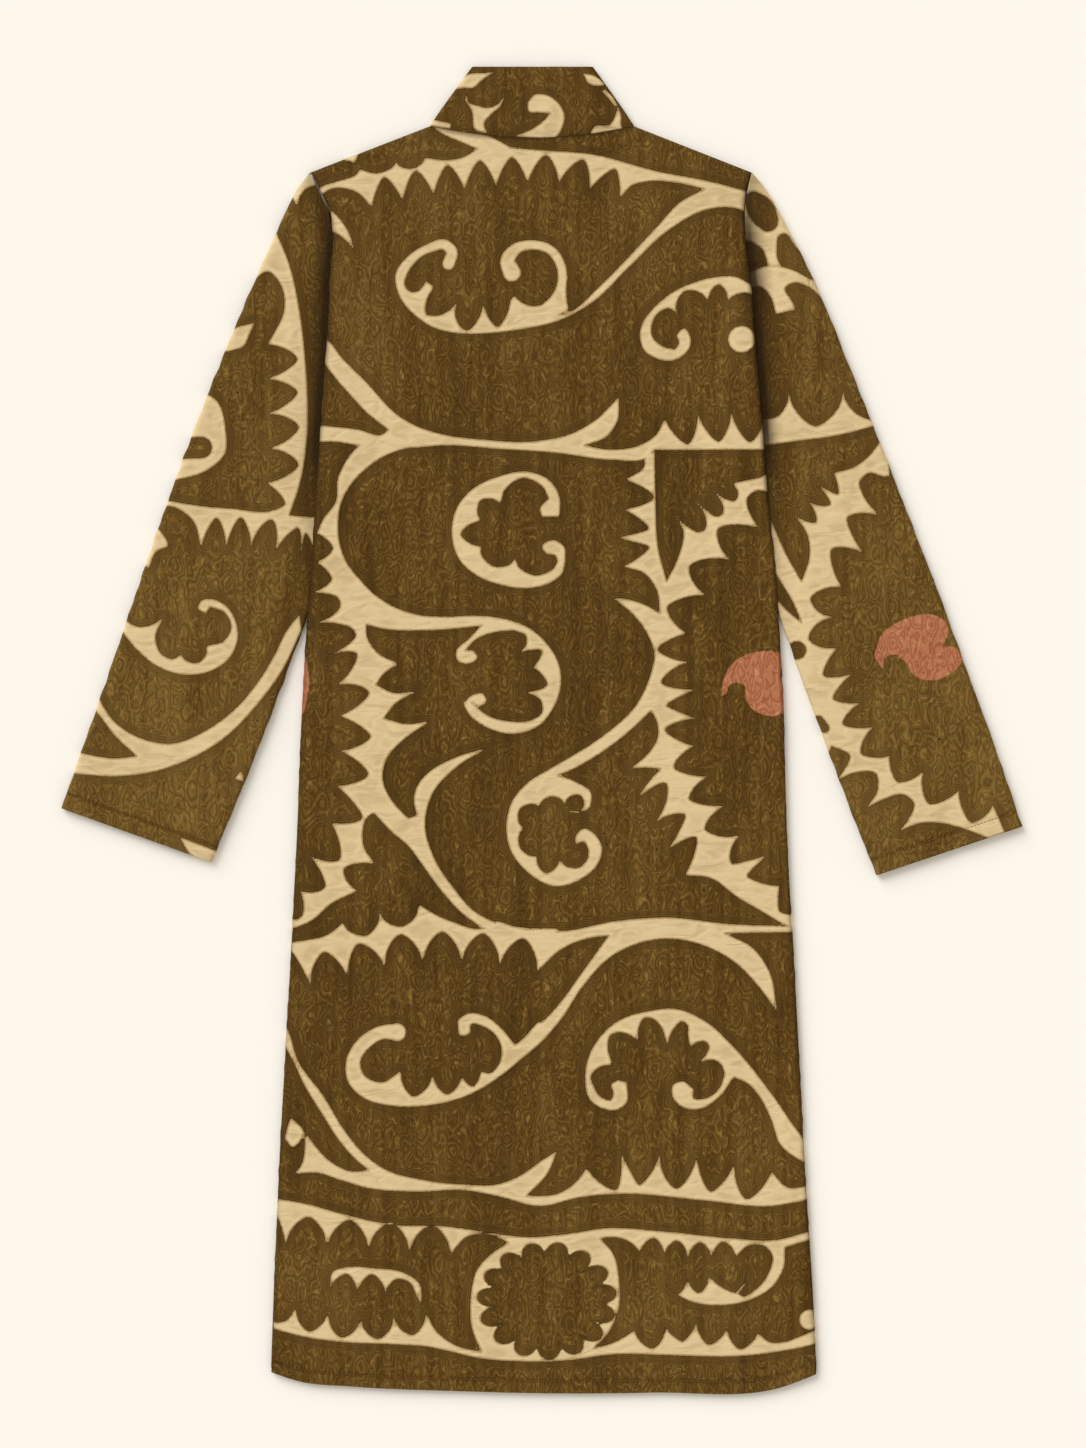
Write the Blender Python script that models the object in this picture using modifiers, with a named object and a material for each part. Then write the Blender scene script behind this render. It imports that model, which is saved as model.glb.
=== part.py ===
"""A long kaftan coat with a stand collar, laid flat with its back uppermost.

Metres, +Z up. +Y runs from the hem to the collar, X across the back, and the floor is Z = 0.
Heights in the tables are millimetres above the lowest point of the hem.
"""

import bpy
import numpy as np

MM = 0.001

# Cloth
WALL = 2.0 * MM
SEAM_GAP = 0.8 * MM
CAP_CORNER_GAP = 1.2 * MM
LAYER_GAP = 0.3 * MM
RIM_DIP = 0.4 * MM
SHOULDER_RIM_DIP = 0.9 * MM

# Lengths up the back, from the hem
COLLAR_TOP = 1191.6 * MM
NECK_POINT_HEIGHT = 1138.5 * MM
NECK_CENTRE_HEIGHT = 1127.7 * MM
SHOULDER_TIP_HEIGHT = 1097.0 * MM
FRONT_NECK_HEIGHT = 1063.0 * MM
UNDERARM_HEIGHT = 848.0 * MM
SLEEVE_EXIT_HEIGHT = 696.0 * MM
FRONT_HEM_LIFT = 4.0 * MM

# Places across the back
NECK_LEFT = -100.8 * MM
NECK_RIGHT = 82.8 * MM
NECK_CENTRE = (NECK_LEFT + NECK_RIGHT) / 2

# Thicknesses of the flattened garment, outside to outside
BODY_TOP = 7.4 * MM
SIDE_SEAM_LEVEL = 3.8 * MM
ARMHOLE_ROLL_TOP = 9.4 * MM
TUCKED_SLEEVE_TOP = 5.0 * MM
SLEEVE_TOP = 7.7 * MM
SLEEVE_CAP_TOP = 7.0 * MM
FOLD_RADIUS = 4.2 * MM
HEM_SAG = 1.8 * MM
CUFF_SAG = 1.2 * MM
COLLAR_LEVEL = 7.0 * MM
COLLAR_TOP_SAG = 1.2 * MM

# Heights between which a form comes in or fades, from low to high
HEM_SAG_FADES = (0, 45 * MM)
HEM_BOW_FADES = (0, 200 * MM)
BACK_SLOPES_FROM = 700 * MM
FRONT_SLOPES_FROM = 600 * MM
ROLL_COMES_IN = (656 * MM, 808 * MM)
ROLL_FADES = (990 * MM, 1060 * MM)
BACK_LIFTS_ONTO_SLEEVE = (636 * MM, 681 * MM)
FRONT_CURL_FADES = (616 * MM, 661 * MM)
FRONT_LEAVES_SIDE_SEAM = 690 * MM
SLEEVE_CAP_RISES = (1046 * MM, 1062 * MM)

# Widths over which a form comes in or fades
ROLL_WIDTH = (-5 * MM, 25 * MM)
BACK_NECK_CORNER = (-1 * MM, 12 * MM)
FRONT_NECK_CORNER = (-1 * MM, 8 * MM)
SLEEVE_RISE = (2 * MM, 34 * MM)
FRONT_BESIDE_SLEEVE = 2.0 * MM

# The back's outline: height above the hem, left edge, right edge
BODY_EDGES = (
    (0, -243.5, 246.5),
    (65, -241.5, 244.0),
    (209, -236.0, 236.0),
    (353, -228.0, 228.5),
    (497, -220.5, 220.5),
    (641, -214.5, 216.0),
    (749, -207.0, 209.0),
    (821, -202.5, 201.6),
    (900, -196.5, 196.0),
    (956, -192.6, 190.8),
    (1000, -190.6, 187.5),
    (1043, -188.1, 182.3),
    (1062, -191.7, 181.8),
    (1077, -198.9, 183.6),
    (1097, -207.9, 188.1),
)

# The hem's bow: share of the half width from the middle, rise of the hem there
HEM_BOW = (
    (-1.0, 19.0),
    (-0.9, 11.0),
    (-0.7, 6.0),
    (-0.3, 1.8),
    (0.0, 0.0),
    (0.4, 0.6),
    (0.88, 6.0),
    (1.0, 17.0),
)

# The armhole seam, hidden below the shoulder: height above the hem, left seam, right seam
ARMHOLE = (
    (848, -154.8, 159.0),
    (920, -171.0, 170.0),
    (992, -181.8, 177.6),
    (1043, -188.1, 182.3),
    (1062, -191.7, 181.8),
    (1077, -198.9, 183.6),
    (1097, -207.9, 188.1),
)

# Sleeve edges from the shoulder down: x and height above the hem
SLEEVE_OUTER = {
    "left": ((-207.9, 1098), (-219.6, 1082), (-241.2, 1037), (-315.9, 857), (-391.5, 641), (-432.0, 525.6)),
    "right": ((188.1, 1098), (200.7, 1082), (225.9, 1037), (302.4, 857), (385.2, 641), (432.0, 509.4)),
}
SLEEVE_INNER = {
    "left": ((-154.8, 848), (-211.5, 696), (-259.2, 569), (-297.0, 477.0)),
    "right": ((159.0, 848), (214.2, 696), (260.1, 569), (300.6, 465.3)),
}
SLEEVE_WIDTH = 150.0 * MM
ARMHOLE_CURVE_FADE = 6
CAP_CORNER_FADE = 12
CUFF_SAGS_FROM = 0.95

# The collar: its top corners, its front half's width and the shape of its neckline
COLLAR_HEAD = {"left": -63.0 * MM, "right": 46.0 * MM}
COLLAR_HEAD_DROP = 1.5 * MM
COLLAR_FRONT_STAND = 58 * MM
COLLAR_FRONT_LIFT = 1 * MM
COLLAR_FRONT_BOW = 12 * MM
COLLAR_FRONT_WIDTH = 90 * MM
COLLAR_SAGS_FROM = 0.75
NECK_CORNER_SHARE = 0.66
COLLAR_HEAD_SHARE = 0.5

# Soft troughs in the upper layers: ends (x, height above the hem), half width, depth
BACK_TROUGHS = (
    ((30, 950), (46, 420), 34, 1.7),
    ((-62, 330), (-66, 60), 32, 1.3),
    ((52, 330), (60, 50), 30, 1.2),
    ((196, 420), (206, 240), 30, 1.3),
    ((-172, 990), (-140, 760), 22, 1.1),
    ((-120, 925), (40, 885), 26, 0.9),
    ((168, 980), (130, 790), 22, 1.0),
)
SLEEVE_TROUGHS = {
    "left": (
        ((-238, 960), (-262, 830), 15, 1.4),
        ((-350, 800), (-290, 770), 18, 1.3),
        ((-300, 640), (-330, 520), 20, 1.2),
    ),
    "right": (
        ((232, 950), (258, 800), 15, 1.3),
        ((352, 760), (300, 740), 18, 1.2),
        ((330, 640), (372, 500), 20, 1.2),
    ),
}

# Colours of the cloth: olive embroidery on cream cotton, as one mean tone for the plain solids
OLIVE = (0.165, 0.098, 0.024, 1.0)
CLOTH_ROUGHNESS = 0.85

# Distances from an edge at which a rounded edge is stepped
EDGE_STEPS = np.array((0.0, 0.25, 1.1, 2.5, 4.2, 10.0)) * MM
NECK_EDGE_ROLL = 0.7 * MM
ROWS_BELOW_SLEEVE = 16
ROWS_BESIDE_SLEEVE = (690, 727, 770, 809, 848, 887, 926, 965, 1004, 1043, 1052, 1062, 1069, 1077)
COLUMNS_SHOULDER = 3
COLUMNS_BACK_NECK = 6
NECKLINE_STOPS = (0.9, 0.75, 0.6, 0.45, 0.3, 0.15, 0.0)
ROWS_DOWN_SLEEVE = 17
SLEEVE_STOPS = (0.08, 0.11, 0.14, 0.18, 0.217, 0.3, 0.42, 0.56, 0.7, 0.83)
ROWS_UP_COLLAR = 4
COLUMNS_COLLAR = 8


def smooth_table(at, places, values):
    """A smooth curve through a short table: cubic pieces whose slopes are those between the neighbours."""
    places, values = np.asarray(places, float), np.asarray(values, float)
    slopes = np.gradient(values, places)
    at = np.clip(at, places[0], places[-1])
    i = np.clip(np.searchsorted(places, at) - 1, 0, len(places) - 2)
    step = places[i + 1] - places[i]
    t = (at - places[i]) / step
    start = (1 + 2 * t) * (1 - t) ** 2 * values[i] + t * (1 - t) ** 2 * step * slopes[i]
    end = t**2 * (3 - 2 * t) * values[i + 1] - t**2 * (1 - t) * step * slopes[i + 1]
    return start + end


def ramp(at, low, high):
    """0 up to low, 1 from high on, and a smooth step between."""
    t = np.clip((at - low) / (high - low), 0, 1)
    return t * t * (3 - 2 * t)


def roll(distance, radius):
    """The height of a quarter-round edge, 0 at the edge and 1 from one radius in."""
    return np.sqrt(np.clip(1 - (1 - np.clip(distance / radius, 0, 1)) ** 2, 0, 1))


def column(table, number):
    """One named column of a table in millimetres, in metres."""
    return np.array([row[number] for row in table]) * MM


def body_edge(height, side):
    """The x of the back's left or right edge at that height."""
    return smooth_table(height, column(BODY_EDGES, 0), column(BODY_EDGES, {"left": 1, "right": 2}[side]))


def armhole_seam(height, side):
    """The x of the armhole seam at that height."""
    return smooth_table(height, column(ARMHOLE, 0), column(ARMHOLE, {"left": 1, "right": 2}[side]))


def back_top_line(x):
    """The height of the back's upper edge: sloping shoulders and a shallow neck curve."""
    tips = [body_edge(SHOULDER_TIP_HEIGHT, side) for side in ("left", "right")]
    shoulders = np.interp(
        x,
        [tips[0], NECK_LEFT, NECK_RIGHT, tips[1]],
        [SHOULDER_TIP_HEIGHT, NECK_POINT_HEIGHT, NECK_POINT_HEIGHT, SHOULDER_TIP_HEIGHT],
    )
    share = (x - NECK_CENTRE) / (NECK_RIGHT - NECK_CENTRE)
    neck = NECK_CENTRE_HEIGHT + (NECK_POINT_HEIGHT - NECK_CENTRE_HEIGHT) * share**2
    return np.where(np.abs(share) < 1, neck, shoulders)


def front_neck_point(t, neck_x):
    """A point of the front neckline: t is 0 at the centre front and 1 at the shoulder."""
    corner_x = NECK_CENTRE + NECK_CORNER_SHARE * (neck_x - NECK_CENTRE)
    x = (1 - t) ** 2 * NECK_CENTRE + 2 * t * (1 - t) * corner_x + t**2 * neck_x
    height = ((1 - t) ** 2 + 2 * t * (1 - t)) * FRONT_NECK_HEIGHT + t**2 * NECK_POINT_HEIGHT
    return x, height


def troughs(x, height, table):
    """How far soft troughs lower a layer: each is deepest along its line and fades to its half width."""
    lowered = np.zeros(np.broadcast(x, height).shape)
    for start, end, half_width, depth in table:
        start, end = np.array(start) * MM, np.array(end) * MM
        along = end - start
        t = ((x - start[0]) * along[0] + (height - start[1]) * along[1]) / (along @ along)
        nearest = np.clip(t, 0, 1)
        away = np.hypot(x - start[0] - nearest * along[0], height - start[1] - nearest * along[1])
        lowered += depth * MM * (1 - ramp(away, 0, half_width * MM))
    return lowered


def back_level(x, height):
    """The top of the back layer away from its edges: higher where it rolls over the tucked sleeves."""
    level = np.full(np.broadcast(x, height).shape, BODY_TOP)
    for side in ("left", "right"):
        edge, seam = body_edge(height, side), armhole_seam(np.maximum(height, UNDERARM_HEIGHT), side)
        inward, overlap = np.abs(x - edge), np.abs(seam - edge)
        over_sleeve = ramp(height, *ROLL_COMES_IN) * (1 - ramp(height, *ROLL_FADES))
        near_edge = 1 - ramp(inward, overlap + ROLL_WIDTH[0], overlap + ROLL_WIDTH[1])
        level = level + (ARMHOLE_ROLL_TOP - BODY_TOP) * over_sleeve * near_edge
    hem = HEM_SAG * (1 - ramp(height, *HEM_SAG_FADES))
    return level - hem - troughs(x, height, BACK_TROUGHS)


def across_back():
    """Shares of the way across the back for each column, with a column at each neck point."""
    tips = [body_edge(SHOULDER_TIP_HEIGHT, side) for side in ("left", "right")]
    inner = [tips[0] + EDGE_STEPS[-1], tips[1] - EDGE_STEPS[-1]]
    places = np.concatenate(
        [
            np.linspace(inner[0], NECK_LEFT, COLUMNS_SHOULDER + 1)[:-1],
            np.linspace(NECK_LEFT, NECK_RIGHT, COLUMNS_BACK_NECK + 1)[:-1],
            np.linspace(NECK_RIGHT, inner[1], COLUMNS_SHOULDER + 1),
        ]
    )
    return (places - inner[0]) / (inner[1] - inner[0])


def side_heights(top):
    """The heights of the rows at a panel's side edge, close together at the hem and the shoulder."""
    beside = np.array(ROWS_BESIDE_SLEEVE) * MM
    below = np.linspace(EDGE_STEPS[-1], beside[0], ROWS_BELOW_SLEEVE)
    return np.concatenate([EDGE_STEPS[[0, 2, 4]], below, beside[1:], top - EDGE_STEPS[::-1]])


def back_surface():
    """The back's outer surface, one row of points for each height at its sides."""
    shares = across_back()
    rows = []
    for height in side_heights(SHOULDER_TIP_HEIGHT):
        left, right = body_edge(height, "left"), body_edge(height, "right")
        first, last = left + EDGE_STEPS[-1], right - EDGE_STEPS[-1]
        flat = first + shares * (last - first)
        x = np.concatenate([left + EDGE_STEPS[:-1], flat, right - EDGE_STEPS[-2::-1]])
        half_share = (2 * x - left - right) / (right - left)
        to_hem = smooth_table(half_share, [row[0] for row in HEM_BOW], column(HEM_BOW, 1))
        upper = np.clip((height - BACK_SLOPES_FROM) / (SHOULDER_TIP_HEIGHT - BACK_SLOPES_FROM), 0, 1) ** 2
        rise = (back_top_line(x) - SHOULDER_TIP_HEIGHT) * upper + to_hem * (1 - ramp(height, *HEM_BOW_FADES))
        up = height + rise
        side_level = SIDE_SEAM_LEVEL + LAYER_GAP / 2 + RIM_DIP
        over_sleeve = TUCKED_SLEEVE_TOP + LAYER_GAP + RIM_DIP
        side_level += (over_sleeve - side_level) * ramp(height, *BACK_LIFTS_ONTO_SLEEVE)
        in_neck = ramp(x - NECK_LEFT, *BACK_NECK_CORNER) * ramp(NECK_RIGHT - x, *BACK_NECK_CORNER)
        level = back_level(x, up)
        shoulder_level = SIDE_SEAM_LEVEL + SHOULDER_RIM_DIP
        top_level = shoulder_level + (level - NECK_EDGE_ROLL - shoulder_level) * in_neck
        side_roll = roll(np.minimum(x - left, right - x), FOLD_RADIUS)
        top_roll = roll(SHOULDER_TIP_HEIGHT - height, FOLD_RADIUS)
        z = side_level + (level - side_level) * side_roll
        z = np.minimum(z, top_level + (level - top_level) * top_roll)
        rows.append(np.stack([x, up, z], axis=1))
    return np.array(rows)


def front_edge(height, side):
    """The x of a front's outer edge: the side seam, the line beside the sleeve's fold, then the armhole."""
    sign = {"left": -1, "right": 1}[side]
    inner = SLEEVE_INNER[side]
    fold = np.interp(-height, -column(inner, 1), column(inner, 0))
    fold = fold - sign * FRONT_BESIDE_SLEEVE
    armhole = armhole_seam(height, side) - sign * SEAM_GAP
    below = body_edge(height, side)
    beside_sleeve = np.where(height < UNDERARM_HEIGHT, fold, armhole)
    above = np.minimum(sign * beside_sleeve, sign * below) * sign
    return np.where(height < FRONT_LEAVES_SIDE_SEAM, below, above)


def front_top_line(x, side):
    """The height of a front's upper edge: the shoulder, then the neckline down to the centre front."""
    neck_x = {"left": NECK_LEFT, "right": NECK_RIGHT}[side]
    t = np.linspace(0, 1, 60)
    curve_x, curve_height = front_neck_point(t, neck_x)
    order = np.argsort(curve_x)
    neckline = np.interp(x, curve_x[order], curve_height[order])
    outside = np.abs(x - NECK_CENTRE) > abs(neck_x - NECK_CENTRE)
    return np.where(outside, back_top_line(x), neckline)


def front_surface(side):
    """A front's outer surface, which faces the floor, from its side edge to the centre front."""
    sign = {"left": -1, "right": 1}[side]
    neck_x = {"left": NECK_LEFT, "right": NECK_RIGHT}[side]
    tip = front_edge(SHOULDER_TIP_HEIGHT, side)
    centre = NECK_CENTRE + sign * SEAM_GAP
    inner = tip - sign * EDGE_STEPS[-1]
    neck_places, _ = front_neck_point(np.array((1.0,) + NECKLINE_STOPS), neck_x)
    neck_places[-1] = centre
    places = np.concatenate([np.linspace(inner, neck_x, COLUMNS_SHOULDER + 1)[:-1], neck_places])
    shares = (places - inner) / (places[-1] - inner)
    rows = []
    for height in side_heights(SHOULDER_TIP_HEIGHT):
        edge = front_edge(height, side)
        centre_x = centre + (1 - height / SHOULDER_TIP_HEIGHT) * -NECK_CENTRE
        first = edge - sign * EDGE_STEPS[-1]
        x = np.concatenate([edge - sign * EDGE_STEPS[:-1], first + shares * (centre_x - first)])
        slope_share = (height - FRONT_SLOPES_FROM) / (SHOULDER_TIP_HEIGHT - FRONT_SLOPES_FROM)
        upper = np.clip(slope_share, 0, 1) ** 2
        rise = (front_top_line(x, side) - SHOULDER_TIP_HEIGHT) * upper
        half_share = 2 * x / (body_edge(height, "right") - body_edge(height, "left"))
        hem = smooth_table(half_share, [row[0] for row in HEM_BOW], column(HEM_BOW, 1)) + FRONT_HEM_LIFT
        up = height + rise + hem * (1 - ramp(height, *HEM_BOW_FADES))
        seam_level = SIDE_SEAM_LEVEL - LAYER_GAP / 2 - RIM_DIP
        curl = 1 - ramp(height, *FRONT_CURL_FADES)
        side_z = seam_level * curl * (1 - roll(np.abs(x - edge), FOLD_RADIUS))
        past_neck = np.abs(x - NECK_CENTRE) - abs(neck_x - NECK_CENTRE)
        near_top = 1 - roll(SHOULDER_TIP_HEIGHT - height, FOLD_RADIUS)
        shoulder_z = (SIDE_SEAM_LEVEL - SHOULDER_RIM_DIP) * ramp(past_neck, *FRONT_NECK_CORNER) * near_top
        rows.append(np.stack([x, up, np.maximum(side_z, shoulder_z)], axis=1))
    return np.array(rows)


def along(points, shares):
    """Points of a polyline in millimetres at those shares of its length, in metres."""
    points = np.array(points, float) * MM
    lengths = np.concatenate([[0], np.cumsum(np.hypot(*np.diff(points, axis=0).T))])
    at = np.asarray(shares) * lengths[-1]
    return np.stack([smooth_table(at, lengths, points[:, k]) for k in (0, 1)], axis=-1)


def armhole_points(shares, side):
    """Points of the armhole seam from the shoulder tip, share 0, to the underarm, share 1."""
    sign = {"left": -1, "right": 1}[side]
    height = SHOULDER_TIP_HEIGHT + (UNDERARM_HEIGHT - SHOULDER_TIP_HEIGHT) * shares
    gap = SEAM_GAP + CAP_CORNER_GAP * (1 - shares) ** CAP_CORNER_FADE
    return np.stack([armhole_seam(height, side) + sign * gap, height], axis=-1)


def sleeve_level(x, height, side):
    """The top of the sleeve away from its folds: low under the back, then rising beside it."""
    outward = np.abs(x) - np.abs(body_edge(height, side))
    beside = ramp(outward, *SLEEVE_RISE)
    level = TUCKED_SLEEVE_TOP + (SLEEVE_TOP - TUCKED_SLEEVE_TOP) * beside
    cap = (SLEEVE_CAP_TOP - TUCKED_SLEEVE_TOP) * ramp(height, *SLEEVE_CAP_RISES) * (1 - beside)
    return level + cap - troughs(x, height, SLEEVE_TROUGHS[side]) * beside


def sleeve_surface(side):
    """The sleeve's outer surface as closed loops from armhole to cuff: over the top, then underneath."""
    steps = EDGE_STEPS[:-1] / SLEEVE_WIDTH
    over = np.concatenate([steps, SLEEVE_STOPS, 1 - EDGE_STEPS[::-1] / SLEEVE_WIDTH])
    shares = np.concatenate([over, over[-2:0:-1]])
    on_top = np.arange(len(shares)) < len(over)
    start = armhole_points(shares, side)
    chord = armhole_points(np.array([0.0, 1.0]), side)
    rows = []
    for down in np.linspace(0, 1, ROWS_DOWN_SLEEVE):
        outer, inner = along(SLEEVE_OUTER[side], down), along(SLEEVE_INNER[side], down)
        if down == 0:
            outer, inner = chord
        place = outer + shares[:, None] * (inner - outer)
        place += (start - (chord[0] + shares[:, None] * (chord[1] - chord[0]))) * (1 - down) ** ARMHOLE_CURVE_FADE
        top = sleeve_level(place[:, 0], place[:, 1], side) - CUFF_SAG * ramp(down, CUFF_SAGS_FROM, 1)
        rounding = roll(np.minimum(shares, 1 - shares) * SLEEVE_WIDTH, 0.5 * top)
        z = 0.5 * top * (1 + np.where(on_top, rounding, -rounding))
        rows.append(np.column_stack([place, z]))
    return np.array(rows)


def collar_corner(up, side):
    """Where the collar folds back on itself, at a share of its height."""
    foot = {"left": NECK_LEFT, "right": NECK_RIGHT}[side]
    stand = COLLAR_TOP - COLLAR_HEAD_DROP - NECK_POINT_HEIGHT
    height = NECK_POINT_HEIGHT + 2 * SEAM_GAP + stand * up
    return np.array([foot + (COLLAR_HEAD[side] - foot) * up, height])


def collar_front_line(up, t, side):
    """A point of the collar's front half at a share of its height: t is 0 at the centre front, 1 at the fold."""
    corner = collar_corner(up, side)
    sign = {"left": -1, "right": 1}[side]
    low = FRONT_NECK_HEIGHT + COLLAR_FRONT_LIFT
    centre = np.array([NECK_CENTRE + sign * SEAM_GAP, low + COLLAR_FRONT_STAND * up])
    half = corner[0] - NECK_CENTRE
    low_control = np.array([NECK_CENTRE + NECK_CORNER_SHARE * half, low])
    high_control = np.array([NECK_CENTRE + COLLAR_HEAD_SHARE * half, centre[1] + COLLAR_FRONT_BOW])
    control = low_control + (high_control - low_control) * up
    t = t[:, None]
    return (1 - t) ** 2 * centre + 2 * t * (1 - t) * control + t**2 * corner


def collar_surface():
    """The stand collar's outer surface: left front underneath, the back on top, right front underneath."""
    fold_steps = EDGE_STEPS[:-1]
    rows = []
    for up in np.linspace(0, 1, ROWS_UP_COLLAR + 1):
        parts = []
        left, right = collar_corner(up, "left"), collar_corner(up, "right")
        front_t = np.concatenate([NECKLINE_STOPS[::-1], 1 - fold_steps[:0:-1] / COLLAR_FRONT_WIDTH])
        back_width = right[0] - left[0]
        flat_t = np.linspace(EDGE_STEPS[-1], back_width - EDGE_STEPS[-1], COLUMNS_COLLAR)
        back_t = np.concatenate([fold_steps, flat_t, back_width - fold_steps[::-1]])
        dip = (NECK_POINT_HEIGHT - NECK_CENTRE_HEIGHT) * (1 - up)
        back_xy = np.stack([left[0] + back_t, left[1] - dip * (1 - (2 * back_t / back_width - 1) ** 2)], axis=1)
        top = COLLAR_LEVEL - COLLAR_TOP_SAG * ramp(up, COLLAR_SAGS_FROM, 1)
        middle = SIDE_SEAM_LEVEL
        for side in ("left", "right"):
            xy = collar_front_line(up, front_t, side)
            away = (1 - front_t) * COLLAR_FRONT_WIDTH
            z = middle * (1 - roll(away, middle))
            parts.append(np.column_stack([xy, z]))
        away = np.minimum(back_t, back_width - back_t)
        back = np.column_stack([back_xy, middle + (top - middle) * roll(away, FOLD_RADIUS)])
        rows.append(np.concatenate([parts[0], back, parts[1][::-1]]))
    return np.array(rows)


def cloth_material(name):
    """A matt woven cloth in the garment's mean colour."""
    material = bpy.data.materials.new(name)
    material.use_nodes = True
    shader = material.node_tree.nodes["Principled BSDF"]
    shader.inputs["Base Color"].default_value = OLIVE
    shader.inputs["Roughness"].default_value = CLOTH_ROUGHNESS
    shader.inputs["Metallic"].default_value = 0.0
    material.diffuse_color = OLIVE
    return material


def cloth_piece(name, surface, middle, closed=False, flip=False):
    """Makes a named panel: a surface of quads between its rows, given its wall by Solidify."""
    count, across = surface.shape[:2]
    points = surface.reshape(-1, 3) - middle
    row, place = np.meshgrid(np.arange(count - 1), np.arange(across if closed else across - 1), indexing="ij")
    beside = (place + 1) % across
    near, far = row * across, (row + 1) * across
    quads = np.stack([near + place, near + beside, far + beside, far + place], axis=-1).reshape(-1, 4)
    quads = quads[:, ::-1] if flip else quads
    mesh = bpy.data.meshes.new(name)
    mesh.from_pydata(points.tolist(), [], quads.tolist())
    mesh.shade_smooth()
    piece = bpy.data.objects.new(name, mesh)
    piece.data.materials.append(cloth_material(name + "_cloth"))
    wall = piece.modifiers.new("wall", "SOLIDIFY")
    wall.thickness = WALL
    wall.offset = -1
    wall.use_even_offset = True
    return piece


def main():
    """Clears the scene and makes the six sewn pieces, centred on the origin."""
    for obj in list(bpy.data.objects):
        bpy.data.objects.remove(obj)
    kaftan = bpy.data.collections.new("kaftan")
    bpy.context.scene.collection.children.link(kaftan)
    surfaces = {
        "back": back_surface(),
        "front_left": front_surface("left"),
        "front_right": front_surface("right"),
        "sleeve_left": sleeve_surface("left"),
        "sleeve_right": sleeve_surface("right"),
        "collar": collar_surface(),
    }
    points = np.concatenate([surface.reshape(-1, 3) for surface in surfaces.values()])
    middle = (points.min(axis=0) + points.max(axis=0)) / 2 * np.array((1, 1, 0))
    for name, surface in surfaces.items():
        flip = name in ("front_left", "sleeve_left")
        kaftan.objects.link(cloth_piece(name, surface, middle, name.startswith("sleeve"), flip))


main()
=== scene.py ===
"""The visual model of a long kaftan coat, laid flat with its back uppermost.

Metres, +Z up, in the frame of the part's own solids: +Y runs from the hem to the collar, the floor
is Z = 0 and the origin is the middle of the garment. The tables are in millimetres.

The scrolling leaf pattern is charted: stems, scrolls, petal rows and leaves are each made by
rule from a few places, widths and counts, and worked out as distances from the edges of the olive.
"""

import logging
from dataclasses import dataclass
from enum import Enum

import bpy
import numpy as np
from numpy.typing import NDArray
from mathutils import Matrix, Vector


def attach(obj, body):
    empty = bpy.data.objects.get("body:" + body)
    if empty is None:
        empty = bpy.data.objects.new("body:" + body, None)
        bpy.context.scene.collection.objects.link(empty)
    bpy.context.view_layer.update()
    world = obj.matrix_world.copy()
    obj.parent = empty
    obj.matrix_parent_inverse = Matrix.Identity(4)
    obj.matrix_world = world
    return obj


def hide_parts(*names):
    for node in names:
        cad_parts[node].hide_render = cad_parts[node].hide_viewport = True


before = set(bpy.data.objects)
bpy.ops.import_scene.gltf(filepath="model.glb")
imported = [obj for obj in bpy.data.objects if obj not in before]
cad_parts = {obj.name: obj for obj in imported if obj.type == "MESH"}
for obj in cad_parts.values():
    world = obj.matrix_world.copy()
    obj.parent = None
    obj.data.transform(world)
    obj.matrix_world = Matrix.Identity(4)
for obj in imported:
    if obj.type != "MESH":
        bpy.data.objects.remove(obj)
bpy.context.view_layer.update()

log = logging.getLogger("kaftan")

MM = 0.001

# How motifs are measured: steps to a petal, the rosette's mean slant, the depth past which all is
# alike in millimetres, and how many places are worked out at a time
PETAL_STEPS = 14
SLANT_SHARE = 0.8
DEEP = 20.0
CHUNK = 4000

Array = NDArray[np.float64]
Point = tuple[float, float]
Scale = tuple[float, float, float]
Colour = tuple[float, float, float, float]
Points = tuple[Point, ...]


class Side(Enum):
    """The garment's left and right as the camera sees them, with the sign of x there."""

    LEFT = -1
    RIGHT = 1

    @property
    def word(self) -> str:
        """The side's name in the frame's node names."""
        return self.name.lower()


class Thread(Enum):
    """What a motif is worked in: the olive ground, the bare cream cotton, or coral."""

    OLIVE = "olive"
    CREAM = "cream"
    CORAL = "coral"


def smooth_table(at: Array, places: Array, values: Array) -> Array:
    """A smooth curve through a short table: cubic pieces whose slopes are those between the neighbours.

    Args:
        at: Where the curve is read.
        places: Rising places of the table.
        values: The table's values there.

    Returns:
        The curve's values at those places, held level past the ends.
    """
    places, values = np.asarray(places, float), np.asarray(values, float)
    slopes = np.gradient(values, places)
    at = np.clip(at, places[0], places[-1])
    i = np.clip(np.searchsorted(places, at) - 1, 0, len(places) - 2)
    step = places[i + 1] - places[i]
    t = (at - places[i]) / step
    start = (1 + 2 * t) * (1 - t) ** 2 * values[i] + t * (1 - t) ** 2 * step * slopes[i]
    end = t**2 * (3 - 2 * t) * values[i + 1] - t**2 * (1 - t) * step * slopes[i + 1]
    return start + end


def ramp(at: Array, low: float, high: float) -> Array:
    """0 up to low, 1 from high on, and a smooth step 3t^2 - 2t^3 between."""
    t = np.clip((at - low) / (high - low), 0, 1)
    return t * t * (3 - 2 * t)


def roll(distance: Array, radius: Array | float) -> Array:
    """The height of a quarter-round edge: the circle sqrt(1 - (1 - d / r)^2), level from one radius in."""
    return np.sqrt(np.clip(1 - (1 - np.clip(distance / radius, 0, 1)) ** 2, 0, 1))


def lengths_along(line: Array) -> Array:
    """The length from the line's start to each of its points."""
    return np.concatenate([[0.0], np.cumsum(np.linalg.norm(np.diff(line, axis=0), axis=1))])


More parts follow.
